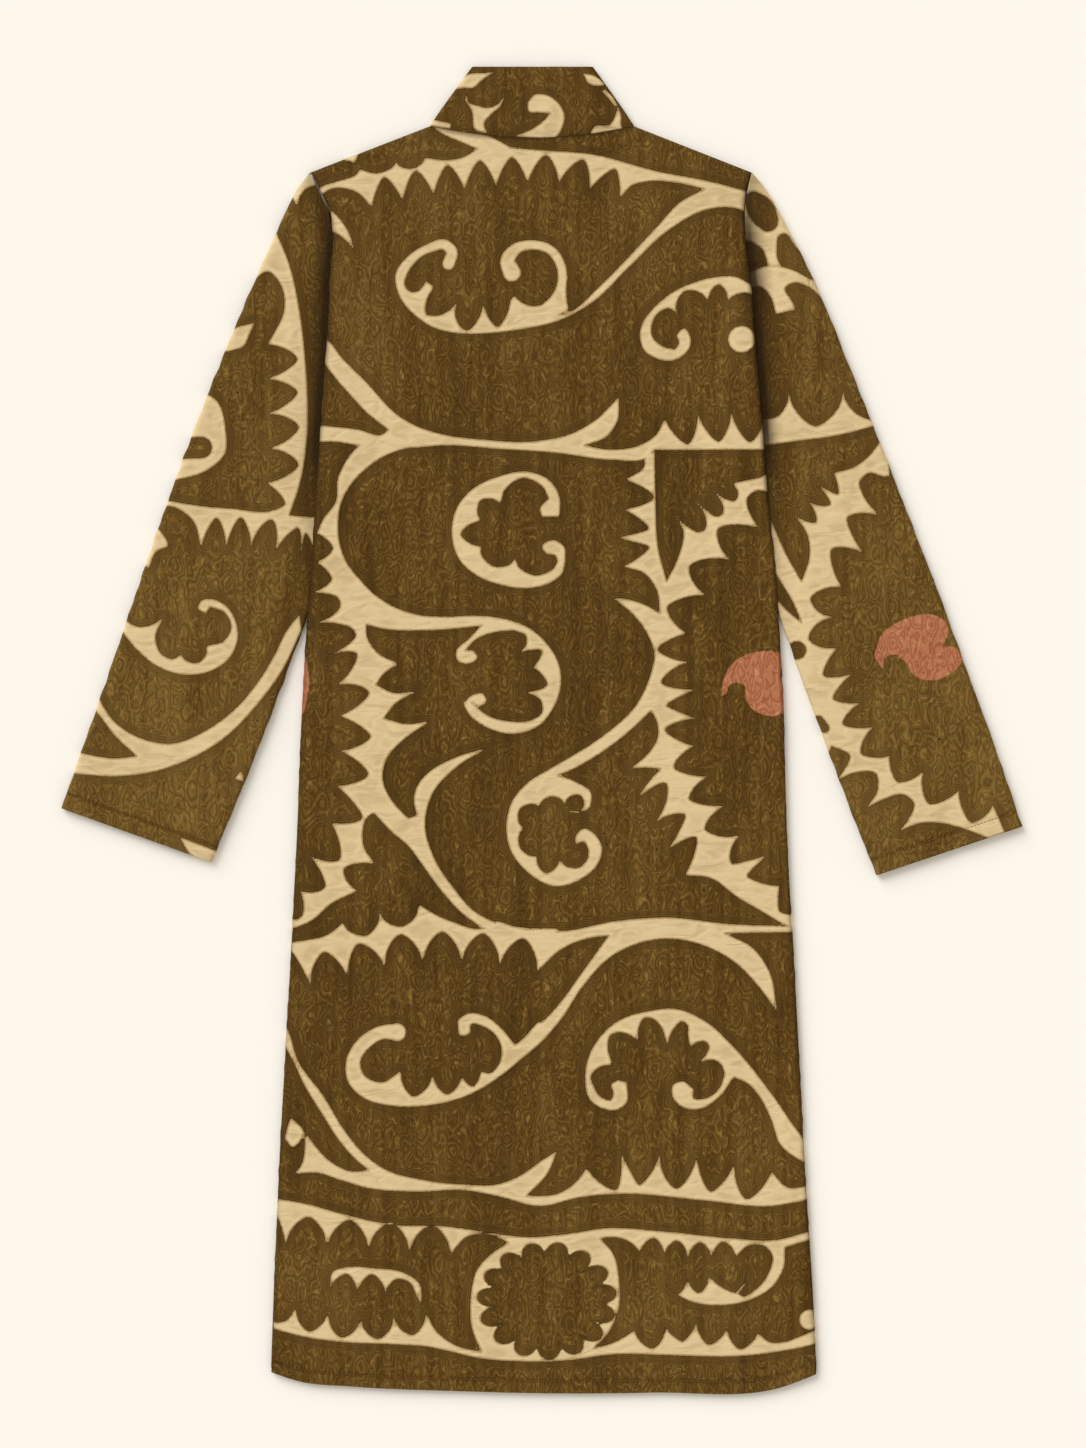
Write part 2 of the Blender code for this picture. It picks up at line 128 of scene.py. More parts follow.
def smooth_line(points: Points, per_span: int = 7) -> Array:
    """A smooth open line through a few points, each coordinate a smooth table of the length so far.

    Args:
        points: The places that it passes through. Two points give a straight line.
        per_span: Steps between neighbouring points.

    Returns:
        Points along the line, with each given point among them.
    """
    given = np.array(points, float)
    if len(given) == 2:
        return given
    lengths = lengths_along(given)
    spans = np.arange(len(given) - 1)[:, None]
    share = np.arange(per_span)[None, :] / per_span
    at = np.append((lengths[spans] + share * np.diff(lengths)[spans]).ravel(), lengths[-1])
    return np.stack([smooth_table(at, lengths, given[:, k]) for k in (0, 1)], axis=1)


def spread(line: Array, count: int) -> Array:
    """Points at even lengths along a line of straight pieces.

    Args:
        line: The line's points.
        count: How many points to give, both ends among them.

    Returns:
        The evenly spread points.
    """
    lengths = lengths_along(line)
    at = np.linspace(0, lengths[-1], count)
    return np.stack([np.interp(at, lengths, line[:, k]) for k in (0, 1)], axis=1)


@dataclass(frozen=True)
class Run:
    """One side of a patch: a smooth line, plain or worked into petals that stand out on its left.

    Attributes:
        points: The line, or where there are petals the line through the notches between them.
        petals: How many petals stand on it, or 0 for a plain side.
        depth: How far the petals stand out to the left of the way along, or to the right if negative.
        full: How full the petals are: about 0.5 is a round petal, and 0.9 a tooth.
        lean: How far each tip is shifted along the line, as a share of the depth.
    """

    points: Points
    petals: int = 0
    depth: float = 0.0
    full: float = 0.72
    lean: float = 0.0

    def line(self) -> Array:
        """The side's points: line + normal x depth x (1 - |u|^1.5)^full, u from -1 to 1 on each petal.

        Returns:
            The points, in order along the side.
        """
        plain = smooth_line(self.points)
        if not self.petals:
            return plain
        steps = PETAL_STEPS
        count = self.petals * steps + 1
        base = spread(plain, count)
        share = np.arange(count) / steps
        u = 2 * (share - np.floor(share)) - 1
        out = np.clip(1 - np.abs(u) ** 1.5, 0, 1) ** self.full * self.depth
        whole = np.gradient(spread(plain, count), axis=0)
        kernel = np.ones(steps) / steps
        padded = np.pad(whole, ((steps, steps), (0, 0)), mode="edge")
        way = np.stack([np.convolve(padded[:, k], kernel, "same")[steps:-steps] for k in (0, 1)], axis=1)
        way /= np.hypot(*way.T)[:, None]
        normal = np.stack([-way[:, 1], way[:, 0]], axis=1)
        return base + normal * out[:, None] + way * (out * self.lean)[:, None]


@dataclass(frozen=True)
class Patch:
    """A closed shape whose outline is its runs, one after another."""

    runs: tuple[Run, ...]
    thread: Thread = Thread.CREAM

    def outline(self) -> Array:
        """The outline's points, in order."""
        return np.concatenate([run.line() for run in self.runs])

    def box(self) -> tuple[Array, Array]:
        """The lowest and highest corner."""
        outline = self.outline()
        return outline.min(axis=0), outline.max(axis=0)

    def distance(self, at: Array) -> Array:
        """The signed distance from the outline.

        The nearest point of each straight piece gives the distance, and the number of pieces that a
        line to the right crosses, odd or even, gives the sign.

        Args:
            at: Places, in millimetres.

        Returns:
            The distance at each place, negative inside.
        """
        start = self.outline()
        end = np.roll(start, -1, axis=0)
        keep = np.hypot(*(end - start).T) > 1e-6
        start, end = start[keep], end[keep]
        way = end - start
        offset = at[:, None, :] - start[None]
        t = np.einsum("nmk,mk->nm", offset, way)
        t = np.clip(t / np.einsum("mk,mk->m", way, way), 0, 1)
        away = np.hypot(offset[..., 0] - t * way[:, 0], offset[..., 1] - t * way[:, 1]).min(axis=1)
        y = at[:, None, 1]
        straddles = (start[:, 1] > y) != (end[:, 1] > y)
        rise = np.where(np.abs(way[:, 1]) < 1e-9, 1e-9, way[:, 1])
        crossing = start[:, 0] + (y - start[:, 1]) * way[:, 0] / rise
        inside = (straddles & (at[:, None, 0] < crossing)).sum(axis=1) % 2
        return np.where(inside == 1, -away, away)


@dataclass(frozen=True)
class Vine:
    """A stem along a smooth line, with half widths at even lengths of it. One point alone is a disc."""

    points: Points
    halves: tuple[float, ...]
    thread: Thread = Thread.CREAM

    def strip(self) -> tuple[Array, Array]:
        """The stem's middle line.

        Returns:
            The line's points and the half width at each.
        """
        if len(self.points) == 1:
            return np.array([self.points[0], self.points[0]]), np.array([self.halves[0]] * 2)
        line = smooth_line(self.points)
        lengths = lengths_along(line)
        places = np.linspace(0, lengths[-1], max(len(self.halves), 2))
        values = np.array(self.halves if len(self.halves) > 1 else self.halves * 2)
        return line, smooth_table(lengths, places, values)

    def box(self) -> tuple[Array, Array]:
        """The lowest and highest corner."""
        line, half = self.strip()
        return line.min(axis=0) - half.max(), line.max(axis=0) + half.max()

    def distance(self, at: Array) -> Array:
        """The signed distance: that from the nearest piece of the line, less its half width there.

        Args:
            at: Places, in millimetres.

        Returns:
            The distance at each place, negative inside.
        """
        line, half = self.strip()
        start, way = line[:-1], np.diff(line, axis=0)
        offset = at[:, None, :] - start[None]
        t = np.einsum("nmk,mk->nm", offset, way) / np.maximum(np.einsum("mk,mk->m", way, way), 1e-9)
        t = np.clip(t, 0, 1)
        away = np.hypot(offset[..., 0] - t * way[:, 0], offset[..., 1] - t * way[:, 1])
        return (away - half[:-1] - t * np.diff(half)).min(axis=1)


@dataclass(frozen=True)
class Flower:
    """A lobed rosette: radius r = core + lobe x |cos(n a / 2)|^full, with a stretch along x and y."""

    middle: Point
    core: float
    lobe: float
    petals: int
    turn: float = 0.0
    stretch: Point = (1.0, 1.0)
    full: float = 0.6
    thread: Thread = Thread.OLIVE

    def box(self) -> tuple[Array, Array]:
        """The lowest and highest corner."""
        reach = (self.core + self.lobe) * np.array(self.stretch)
        return np.array(self.middle) - reach, np.array(self.middle) + reach

    def distance(self, at: Array) -> Array:
        """About the signed distance: the radius less the rosette's own radius in that direction.

        Args:
            at: Places, in millimetres.

        Returns:
            The distance at each place, negative inside.
        """
        x, y = ((at - np.array(self.middle)) / np.array(self.stretch)).T
        angle = np.arctan2(y, x) - np.radians(self.turn)
        edge = self.core + self.lobe * np.abs(np.cos(self.petals * angle / 2)) ** self.full
        return (np.hypot(x, y) - edge) * SLANT_SHARE


Motif = Patch | Vine | Flower
Motifs = tuple[Motif, ...]

# The back's outline: height above the hem, left edge, right edge
BODY_EDGES = (
    (0, -243.5, 246.5),
    (65, -241.5, 244.0),
    (209, -236.0, 236.0),
    (353, -228.0, 228.5),
    (497, -220.5, 220.5),
    (641, -214.5, 216.0),
    (749, -207.0, 209.0),
    (821, -202.5, 201.6),
    (900, -196.5, 196.0),
    (956, -192.6, 190.8),
    (1000, -190.6, 187.5),
    (1043, -188.1, 182.3),
    (1062, -191.7, 181.8),
    (1077, -198.9, 183.6),
    (1097, -207.9, 188.1),
)

# The hem's bow: share of the half width from the middle, rise of the hem there
HEM_BOW = ((-1.0, 19.0), (-0.9, 11.0), (-0.7, 6.0), (-0.3, 1.8), (0.0, 0.0), (0.4, 0.6), (0.88, 6.0),
           (1.0, 17.0))

# The armhole seam: height above the hem, left seam, right seam
ARMHOLE = (
    (848, -154.8, 159.0),
    (920, -171.0, 170.0),
    (992, -181.8, 177.6),
    (1043, -188.1, 182.3),
    (1062, -191.7, 181.8),
    (1077, -198.9, 183.6),
    (1097, -207.9, 188.1),
)

# Sleeve edges from the shoulder down: x and height above the hem
SLEEVE_OUTER = {
    Side.LEFT: ((-207.9, 1098), (-219.6, 1082), (-241.2, 1037), (-315.9, 857), (-391.5, 641),
                (-432.0, 525.6)),
    Side.RIGHT: ((188.1, 1098), (200.7, 1082), (225.9, 1037), (302.4, 857), (385.2, 641), (432.0, 509.4)),
}
SLEEVE_INNER = {
    Side.LEFT: ((-154.8, 848), (-211.5, 696), (-259.2, 569), (-297.0, 477.0)),
    Side.RIGHT: ((159.0, 848), (214.2, 696), (260.1, 569), (300.6, 465.3)),
}

# Soft troughs in the upper layers: ends (x, height above the hem), half width, depth
BACK_TROUGHS = (
    ((30, 950), (46, 420), 34, 1.7),
    ((-62, 330), (-66, 60), 32, 1.3),
    ((52, 330), (60, 50), 30, 1.2),
    ((196, 420), (206, 240), 30, 1.3),
    ((-172, 990), (-140, 760), 22, 1.1),
    ((-120, 925), (40, 885), 26, 0.9),
    ((168, 980), (130, 790), 22, 1.0),
)
SLEEVE_TROUGHS = {
    Side.LEFT: (((-238, 960), (-262, 830), 15, 1.4), ((-350, 800), (-290, 770), 18, 1.3),
                ((-300, 640), (-330, 520), 20, 1.2)),
    Side.RIGHT: (((232, 950), (258, 800), 15, 1.3), ((352, 760), (300, 740), 18, 1.2),
                 ((330, 640), (372, 500), 20, 1.2)),
}

# Rows of points this far in from an edge round it off finely
EDGE_STEPS = np.array((0.0, 0.3, 1.1, 2.4, 4.2, 6.6))

# The cloth's slow waves, its uneven edges, and the dip along a row of stitches
WAVE_HEIGHT = 0.22
EDGE_WOBBLE = 0.35
STITCH_DIP = 0.55
DIP_REACH = 4 * MM

# Rows of stitches: how far in from the hem and cuffs, and the line below the collar
HEM_STITCH = 11.0
CUFF_STITCH = 14.5
NECK_STITCH = ((-29, 523), (10, 521), (49, 519), (75, 526), (97, 537))

# Heights above the hem between which a form comes in or fades, from low to high
HEM_SAG_FADES = (0, 45 * MM)
HEM_BOW_FADES = (0, 200 * MM)
HEM_WAVES_COME_IN = (0, 10 * MM)
BACK_SLOPES_FROM = 700 * MM
FRONT_SLOPES_FROM = 600 * MM
ROLL_COMES_IN = (656 * MM, 808 * MM)
ROLL_FADES = (990 * MM, 1060 * MM)
BACK_LIFTS_ONTO_SLEEVE = (636 * MM, 681 * MM)
FRONT_CURL_FADES = (616 * MM, 661 * MM)
FRONT_LEAVES_SIDE_SEAM = 690 * MM
SLEEVE_CAP_RISES = (1046 * MM, 1062 * MM)

# Distances in from an edge over which waves come in and a wobble fades
WAVES_COME_IN = (1 * MM, 14 * MM)
WOBBLE_FADES = (0, 12 * MM)


def cream(*runs: Run) -> Patch:
    """A bare cream patch with those sides."""
    return Patch(runs)


def olive(*runs: Run) -> Patch:
    """An olive patch with those sides."""
    return Patch(runs, Thread.OLIVE)


def disc(x: float, y: float, radius: float, thread: Thread = Thread.CREAM) -> Vine:
    """A round spot."""
    return Vine(((x, y),), (radius,), thread)


# The yoke: a petal row under the collar, a long leaf, and the stem that falls to the first scroll
YOKE: Motifs = (
    cream(
        Run(((-205, 480), (-186, 520), (-104, 548), (-84, 542))),
        Run(((-84, 542), (-50, 535), (-29, 524))),
        Run(((-29, 524), (-2, 521), (40, 518), (108, 501), (145, 494), (192, 482))),
        Run(((192, 482), (186, 464))),
        Run(((186, 464), (174, 469), (149, 468), (116, 451), (79, 417), (46, 385), (9, 366), (-20, 360))),
        Run(((-20, 374), (26, 376), (50, 397), (103, 452), (125, 475), (146, 486))),
        Run(((146, 486), (120, 492), (95, 493), (80, 489), (70, 478))),
        Run(((70, 478), (17, 492), (-43, 489), (-104, 480), (-153, 470)), 8, -24, 0.95, 0.1),
        Run(((-153, 470), (-166, 483), (-180, 487), (-190, 486), (-198, 481))),
    ),
    olive(
        Run(((-168, 510), (-150, 511), (-131, 510)), 1, -11, 0.6),
        Run(((-131, 510), (-105, 514)), 1, -8, 0.6),
        Run(((-105, 514), (-86, 512), (-70, 515), (-58, 522))),
        Run(((-58, 522), (-72, 528), (-93, 538), (-106, 550))),
        Run(((-106, 550), (-162, 524), (-168, 510))),
    ),
    olive(
        Run(((-206, 484), (-196, 489), (-180, 494), (-167, 499), (-162, 506))),
        Run(((-162, 506), (-172, 511), (-184, 513), (-206, 512))),
    ),
    cream(
        Run(((-197, 472), (-184, 462), (-175, 450), (-168, 430))),
        Run(((-168, 430), (-177, 441), (-186, 447), (-197, 449))),
    ),
)

# The first scroll under the yoke, with hanging petals inside
FIRST_SCROLL: Motifs = (
    cream(
        Run(((-132, 404), (-129, 392), (-123, 382), (-112, 371), (-98, 362), (-78, 357), (-45, 357),
             (-12, 362), (24, 377))),
        Run(((24, 377), (22, 388), (22, 404))), Run(((22, 404), (-6, 398), (-28, 388))),
        Run(((-28, 388), (-49, 384), (-76, 383), (-97, 398)), 3, 23, 0.72, 0.15),
        Run(((-97, 398), (-112, 410))),
    ),
    Vine(((-84, 419), (-81, 430), (-87, 436), (-103, 432), (-118, 422), (-127, 407), (-124, 395)),
         (5.6, 5.0, 4.4, 4.2, 4.4, 5.0, 5.0)),
    disc(-7, 402, 21, Thread.OLIVE),
    Vine(((-90, 430), (-104, 418), (-115, 402)), (2.0, 8.5, 8.5), Thread.OLIVE),
    Vine(((-27, 411), (-31, 422), (-24, 432), (-8, 436), (8, 431), (17, 417), (18, 402), (12, 388), (2, 378)),
         (8.0, 6.0, 4.4, 4.2, 4.2, 4.2, 4.2, 4.5)),
)

# The stem and the band across the shoulder blades, with a thorn and hanging petals at the right
UPPER_BAND: Motifs = (
    cream(
        Run(((-199, 353), (-194, 351), (-180, 335), (-158, 313), (-128, 282), (-112, 273), (-90, 266),
             (-53, 261), (-2, 260), (25, 266), (47, 278), (69, 299))),
        Run(((69, 299), (68, 279), (58, 264), (38, 256))),
        Run(((38, 256), (62, 252), (90, 257), (103, 266), (110, 280))),
        Run(((110, 280), (139, 284), (167, 285), (200, 284)), 3, -26, 0.72, -0.1),
        Run(((204, 284), (205, 252))), Run(((205, 252), (101, 252))),
        Run(((101, 252), (94, 245), (64, 243), (16, 249), (-41, 253), (-87, 256), (-114, 254))),
        Run(((-114, 254), (-160, 255), (-185, 259), (-202, 259))),
        Run(((-202, 274), (-165, 270), (-143, 266), (-138, 270))),
        Run(((-138, 270), (-157, 285), (-172, 301), (-186, 317), (-200, 336))),
    ),
)

# The bean: a broad stem round a great olive lobe, and the lobed scroll inside the lobe
BEAN: Motifs = (
    cream(
        Run(((-100, 257), (-127, 252), (-144, 245), (-159, 234), (-172, 220), (-180, 205), (-183, 187),
             (-182, 170), (-176, 152), (-163, 135), (-149, 121), (-131, 110), (-112, 104), (-87, 102),
             (-59, 103), (-33, 100), (-10, 91), (6, 76))),
        Run(((6, 76), (-14, 86), (-30, 91), (-54, 94))),
        Run(((-54, 94), (-102, 90), (-150, 93), (-162, 97))),
        Run(((-162, 97), (-170, 100), (-177, 108), (-179, 120), (-192, 124), (-206, 124))),
        Run(((-206, 124), (-203, 151)), 1, -16, 0.8),
        Run(((-203, 151), (-202, 177)), 1, -15, 0.8),
        Run(((-202, 177), (-196, 190), (-185, 205), (-183, 226), (-173, 246), (-159, 261))),
        Run(((-159, 261), (-130, 262))),
    ),
    cream(
        Run(((16, 192), (15, 212), (6, 225), (-11, 232), (-39, 228), (-62, 217), (-76, 201), (-81, 183),
             (-80, 168), (-74, 153), (-60, 140), (-38, 131), (-10, 128), (8, 133), (18, 141), (21, 153))),
        Run(((21, 153), (20, 165), (9, 171), (0, 165), (4, 159), (12, 157), (14, 152))),
        Run(((14, 152), (-24, 154)), 1, 14, 0.5),
        Run(((-24, 154), (-55, 165)), 1, 13, 0.5),
        Run(((-55, 165), (-55, 188)), 1, 18, 0.6),
        Run(((-55, 188), (-37, 204)), 1, 14, 0.55),
        Run(((-37, 204), (6, 208)), 1, 21, 0.5),
        Run(((6, 208), (-2, 199), (0, 192))),
    ),
)

# The left zigzag, from the armhole down to the low band, with the leaf and stem that leave it
LEFT_ZIGZAG: Motifs = (
    cream(
        Run(((-206, 124), (-194, 123), (-183, 119), (-181, 112), (-187, 104), (-200, 97))),
        Run(((-200, 97), (-184, 96), (-170, 91), (-167, 86), (-173, 78), (-184, 71), (-195, 67))),
        Run(((-195, 67), (-183, 39), (-181, 13)), 2, 27, 0.86, -0.15),
        Run(((-181, 13), (-181, -19), (-184, -50)), 2, 27, 0.86, 0.1),
        Run(((-184, -50), (-189, -83)), 1, 27, 0.86, 0.3),
        Run(((-189, -83), (-209, -112)), 1, 25, 0.8, 0.2),
        Run(((-209, -112), (-217, -144)), 1, 21, 0.75, 0.35),
        Run(((-217, -144), (-214, -156), (-216, -167), (-221, -170), (-228, -165))),
        Run(((-238, -165), (-238, -178))),
        Run(((-238, -178), (-222, -177), (-206, -170), (-190, -156), (-166, -144))),
        Run(((-166, -144), (-150, -120)), 1, 21, 0.65, -0.2),
        Run(((-150, -120), (-160, -104), (-161, -90), (-157, -78), (-151, -74))),
        Run(((-151, -74), (-136, -90), (-118, -106), (-110, -117), (-91, -143), (-73, -163), (-53, -178))),
        Run(((-53, -178), (14, -183))),
        Run(((14, -178), (-18, -177), (-45, -171), (-61, -162), (-79, -142), (-97, -114), (-105, -84),
             (-98, -56), (-77, -33), (-50, -16))),
        Run(((-50, -16), (-77, -24), (-101, -37), (-112, -50), (-115, -64), (-112, -76))),
        Run(((-112, -76), (-120, -79))),
        Run(((-120, -79), (-134, -64), (-143, -44), (-140, -26), (-124, -8), (-101, 8))),
        Run(((-101, 8), (-124, 6), (-142, 11))), Run(((-142, 11), (-132, 24), (-113, 35))),
        Run(((-113, 35), (-134, 34), (-149, 41))), Run(((-149, 41), (-142, 51), (-129, 60))),
        Run(((-129, 60), (-148, 70), (-157, 84), (-158, 97))),
        Run(((-158, 97), (-160, 114), (-169, 126), (-186, 129), (-206, 124))),
    ),
)

# The scroll below the bean's stem, with two teeth inside and a hook at its upper left
SECOND_SCROLL: Motifs = (
    cream(
        Run(((-54, 95), (-66, 82), (-77, 71), (-76, 63), (-66, 60), (-58, 65), (-61, 71), (-69, 72))),
        Run(((-69, 72), (-59, 82), (-44, 88), (-26, 90))),
        Run(((-26, 90), (-15, 86), (-14, 77), (-20, 70))),
        Run(((-20, 70), (-8, 57)), 1, 16, 0.8, 0.2),
        Run(((-8, 57), (-15, 35)), 1, 17, 0.75),
        Run(((-15, 35), (-1, 27), (0, 16), (-10, 9), (-28, 8), (-48, 13), (-63, 25))),
        Run(((-63, 25), (-56, 22), (-50, 26), (-53, 33), (-62, 32), (-71, 24))),
        Run(((-71, 24), (-65, 14), (-50, 3), (-26, -3), (-2, 5), (11, 22), (17, 42), (15, 60), (6, 76),
             (-10, 91), (-33, 100))),
    ),
)

# The scroll at the right, which runs on under the armhole
SHOULDER_SCROLL: Motifs = (
    cream(
        Run(((200, 394), (184, 402), (174, 407), (156, 407), (136, 402), (117, 393), (101, 380),
             (90, 365), (88, 352), (92, 341), (103, 334), (116, 332), (127, 337), (133, 345),
             (133, 354), (128, 361), (121, 355), (123, 348), (119, 342))),
        Run(((119, 342), (108, 345), (99, 354), (99, 366), (107, 377), (115, 379), (121, 374))),
        Run(((121, 374), (149, 386)), 1, 16, 0.5),
        Run(((149, 386), (167, 385)), 1, 15, 0.5),
        Run(((167, 385), (196, 385)), 1, 8, 0.5),
    ),
    disc(179, 351, 12),
)

# The centre comb and the round edge under it, down to the little hooked scroll
CENTRE: Motifs = (
    cream(
        Run(((64, 243), (92, 244))), Run(((92, 244), (92, 238), (75, 225))),
        Run(((75, 225), (73, 202), (68, 173), (73, 147)), 3, 27, 0.85),
        Run(((73, 147), (92, 141), (103, 126), (106, 105))),
        Run(((106, 105), (92, 113), (80, 117), (64, 119))),
        Run(((64, 119), (82, 104), (95, 86), (101, 68), (98, 52), (84, 22), (56, -4), (22, -26), (-2, -40))),
        Run(((-2, -44), (20, -38), (40, -28), (78, -1), (98, 18))),
        Run(((98, 18), (103, 8), (104, -6), (96, -20), (80, -34))),
        Run(((81, -34), (82, -52), (100, -77), (111, -102), (129, -129)), 4, 27, 0.75, -0.3),
        Run(((129, -130), (150, -132), (176, -150), (200, -164), (213, -172))),
        Run(((213, -172), (230, -180))),
        Run(((230, -166), (220, -165), (214, -163), (212, -151), (213, -140))),
        Run(((213, -140), (202, -114), (179, -96), (163, -68), (149, -42), (136, -14)), 5, 24, 0.8, 0.2),
        Run(((136, -14), (138, 30), (132, 55), (130, 87)), 4, 27, 0.8),
        Run(((130, 87), (146, 120), (167, 152), (194, 182)), 3, 26, 0.8, -0.2),
        Run(((194, 182), (186, 196), (184, 208), (192, 215), (204, 214))),
        Run(((204, 214), (204, 234))), Run(((204, 233), (198, 228), (187, 225), (171, 222))),
        Run(((171, 222), (176, 213), (173, 206), (166, 207), (154, 215))),
        Run(((154, 215), (162, 203), (162, 194), (156, 192), (148, 197), (139, 205))),
        Run(((139, 205), (147, 191), (146, 180), (140, 178), (132, 182), (121, 191))),
        Run(((121, 191), (127, 179), (124, 160), (112, 134))),
        Run(((112, 134), (104, 165), (102, 200), (101, 250))),
    ),
)

# The hooked scroll at the foot of the round edge
THIRD_SCROLL: Motifs = (
    cream(
        Run(((40, -16), (8, -34), (-14, -48), (-27, -64), (-32, -84), (-28, -108), (-12, -128),
             (12, -140), (34, -134), (50, -120), (54, -106), (46, -92), (38, -88), (30, -96),
             (30, -102))),
        Run(((30, -102), (38, -100), (42, -108))),
        Run(((42, -108), (16, -116)), 1, 12, 0.5),
        Run(((16, -116), (-5, -113)), 1, 14, 0.55),
        Run(((-5, -113), (-17, -88)), 1, 10, 0.55),
        Run(((-17, -88), (-2, -68)), 1, 13, 0.5),
        Run(((-2, -68), (20, -66)), 1, 8, 0.5),
        Run(((20, -66), (24, -60), (34, -58), (38, -66), (32, -74), (24, -73))),
        Run(((24, -73), (42, -70), (44, -56), (30, -46), (14, -40))),
    ),
)

# The low band, its petal row, the fourth scroll and the arch at the right
LOW_BAND: Motifs = (
    cream(
        Run(((-238, -192), (-210, -188), (-196, -185), (-186, -179), (-179, -173))),
        Run(((-179, -173), (-146, -163)), 1, -17, 0.55),
        Run(((-146, -163), (-111, -156)), 1, -17, 0.5),
        Run(((-111, -156), (-98, -164), (-80, -172), (-54, -178), (-40, -171))),
        Run(((-40, -171), (-18, -178), (20, -180), (68, -171), (111, -168), (170, -174), (228, -176))),
        Run(((228, -181), (164, -182))), Run(((164, -182), (190, -196), (204, -216), (211, -252))),
        Run(((211, -252), (193, -228), (173, -208), (145, -193), (118, -187), (90, -190), (62, -203),
             (35, -232), (18, -258), (-2, -281), (-20, -296))),
        Run(((-26, -284), (0, -262), (16, -245), (34, -220), (60, -184))),
        Run(((60, -184), (40, -187), (18, -196), (-4, -216))),
        Run(((-4, -216), (-36, -211), (-69, -208), (-104, -208), (-138, -212), (-174, -222),
             (-208, -228)), 6, -27, 0.66),
        Run(((-208, -228), (-216, -212), (-226, -198), (-236, -194))),
    ),
)

FOURTH_SCROLL: Motifs = (
    cream(
        Run(((-130, -263), (-148, -266), (-165, -277), (-176, -297), (-174, -316), (-160, -330),
             (-134, -337), (-107, -337), (-70, -329), (-33, -307), (-10, -286), (10, -262))),
        Run(((-4, -262), (-23, -284))),
        Run(((-23, -284), (-38, -266), (-50, -257), (-66, -254), (-76, -260))),
        Run(((-76, -260), (-73, -274), (-65, -272), (-64, -264), (-52, -266), (-40, -276), (-36, -288),
             (-39, -300), (-47, -308), (-55, -306))),
        Run(((-55, -306), (-72, -310)), 1, 12, 0.7, 0.1),
        Run(((-72, -310), (-98, -310)), 1, 17, 0.66),
        Run(((-98, -310), (-127, -306)), 1, 21, 0.6),
        Run(((-127, -306), (-144, -316), (-160, -309), (-163, -297), (-154, -284), (-142, -277),
             (-130, -279))),
    ),
    disc(-130, -271, 8),
)

ARCH_SCROLL: Motifs = (
    cream(
        Run(((76, -316), (76, -334), (66, -341), (56, -340), (42, -330), (39, -316), (40, -300),
             (50, -278), (70, -260), (96, -252), (120, -250), (148, -262), (170, -282), (206, -326),
             (233, -364), (240, -372))),
        Run(((240, -390), (232, -386), (214, -372), (206, -350), (196, -330), (186, -318), (172, -311))),
        Run(((172, -311), (160, -328), (140, -340), (126, -338), (117, -328), (118, -318), (126, -315),
             (136, -322))),
        Run(((136, -322), (136, -330), (148, -330), (160, -320), (164, -308))),
        Run(((164, -308), (161, -300), (155, -296), (147, -296), (140, -299))),
        Run(((140, -299), (148, -290), (150, -283), (146, -279), (139, -280), (133, -284))),
        Run(((133, -284), (131, -272), (131, -265), (126, -261), (118, -268), (112, -282))),
        Run(((112, -282), (108, -268), (100, -259), (92, -258), (87, -266), (86, -278))),
        Run(((86, -278), (78, -273), (68, -271), (61, -274), (59, -284), (63, -300))),
        Run(((63, -300), (52, -302), (44, -310), (47, -321), (54, -330), (62, -332), (64, -326),
             (62, -318), (68, -314))),
    ),
)

# The stem at the lower left, the hanging petals and the stripe under them
FOOT: Motifs = (
    cream(
        Run(((-240, -254), (-229, -268), (-219, -297), (-197, -327), (-176, -361), (-160, -380),
             (-139, -395), (-110, -403), (-68, -408), (-42, -408), (-20, -400), (0, -386), (13, -378))),
        Run(((13, -378), (6, -396), (-14, -418))),
        Run(((-14, -418), (14, -416), (32, -404), (40, -393))),
        Run(((40, -393), (77, -379), (108, -382), (146, -384), (177, -390), (206, -396)), 5, -29, 0.7),
        Run(((206, -396), (220, -410), (244, -408))),
        Run(((244, -420), (206, -427), (146, -422), (72, -416), (35, -419), (-2, -427), (-40, -418),
             (-68, -413), (-116, -414), (-155, -411), (-180, -404), (-203, -397), (-222, -398))),
        Run(((-222, -398), (-216, -390), (-213, -375), (-213, -361))),
        Run(((-213, -361), (-206, -370), (-190, -387), (-171, -396), (-155, -395))),
        Run(((-155, -395), (-164, -388), (-180, -371), (-197, -345), (-213, -319), (-229, -287),
             (-240, -274))),
    ),
    cream(Run(((-226, -347), (-214, -361), (-224, -374), (-231, -366)))),
)

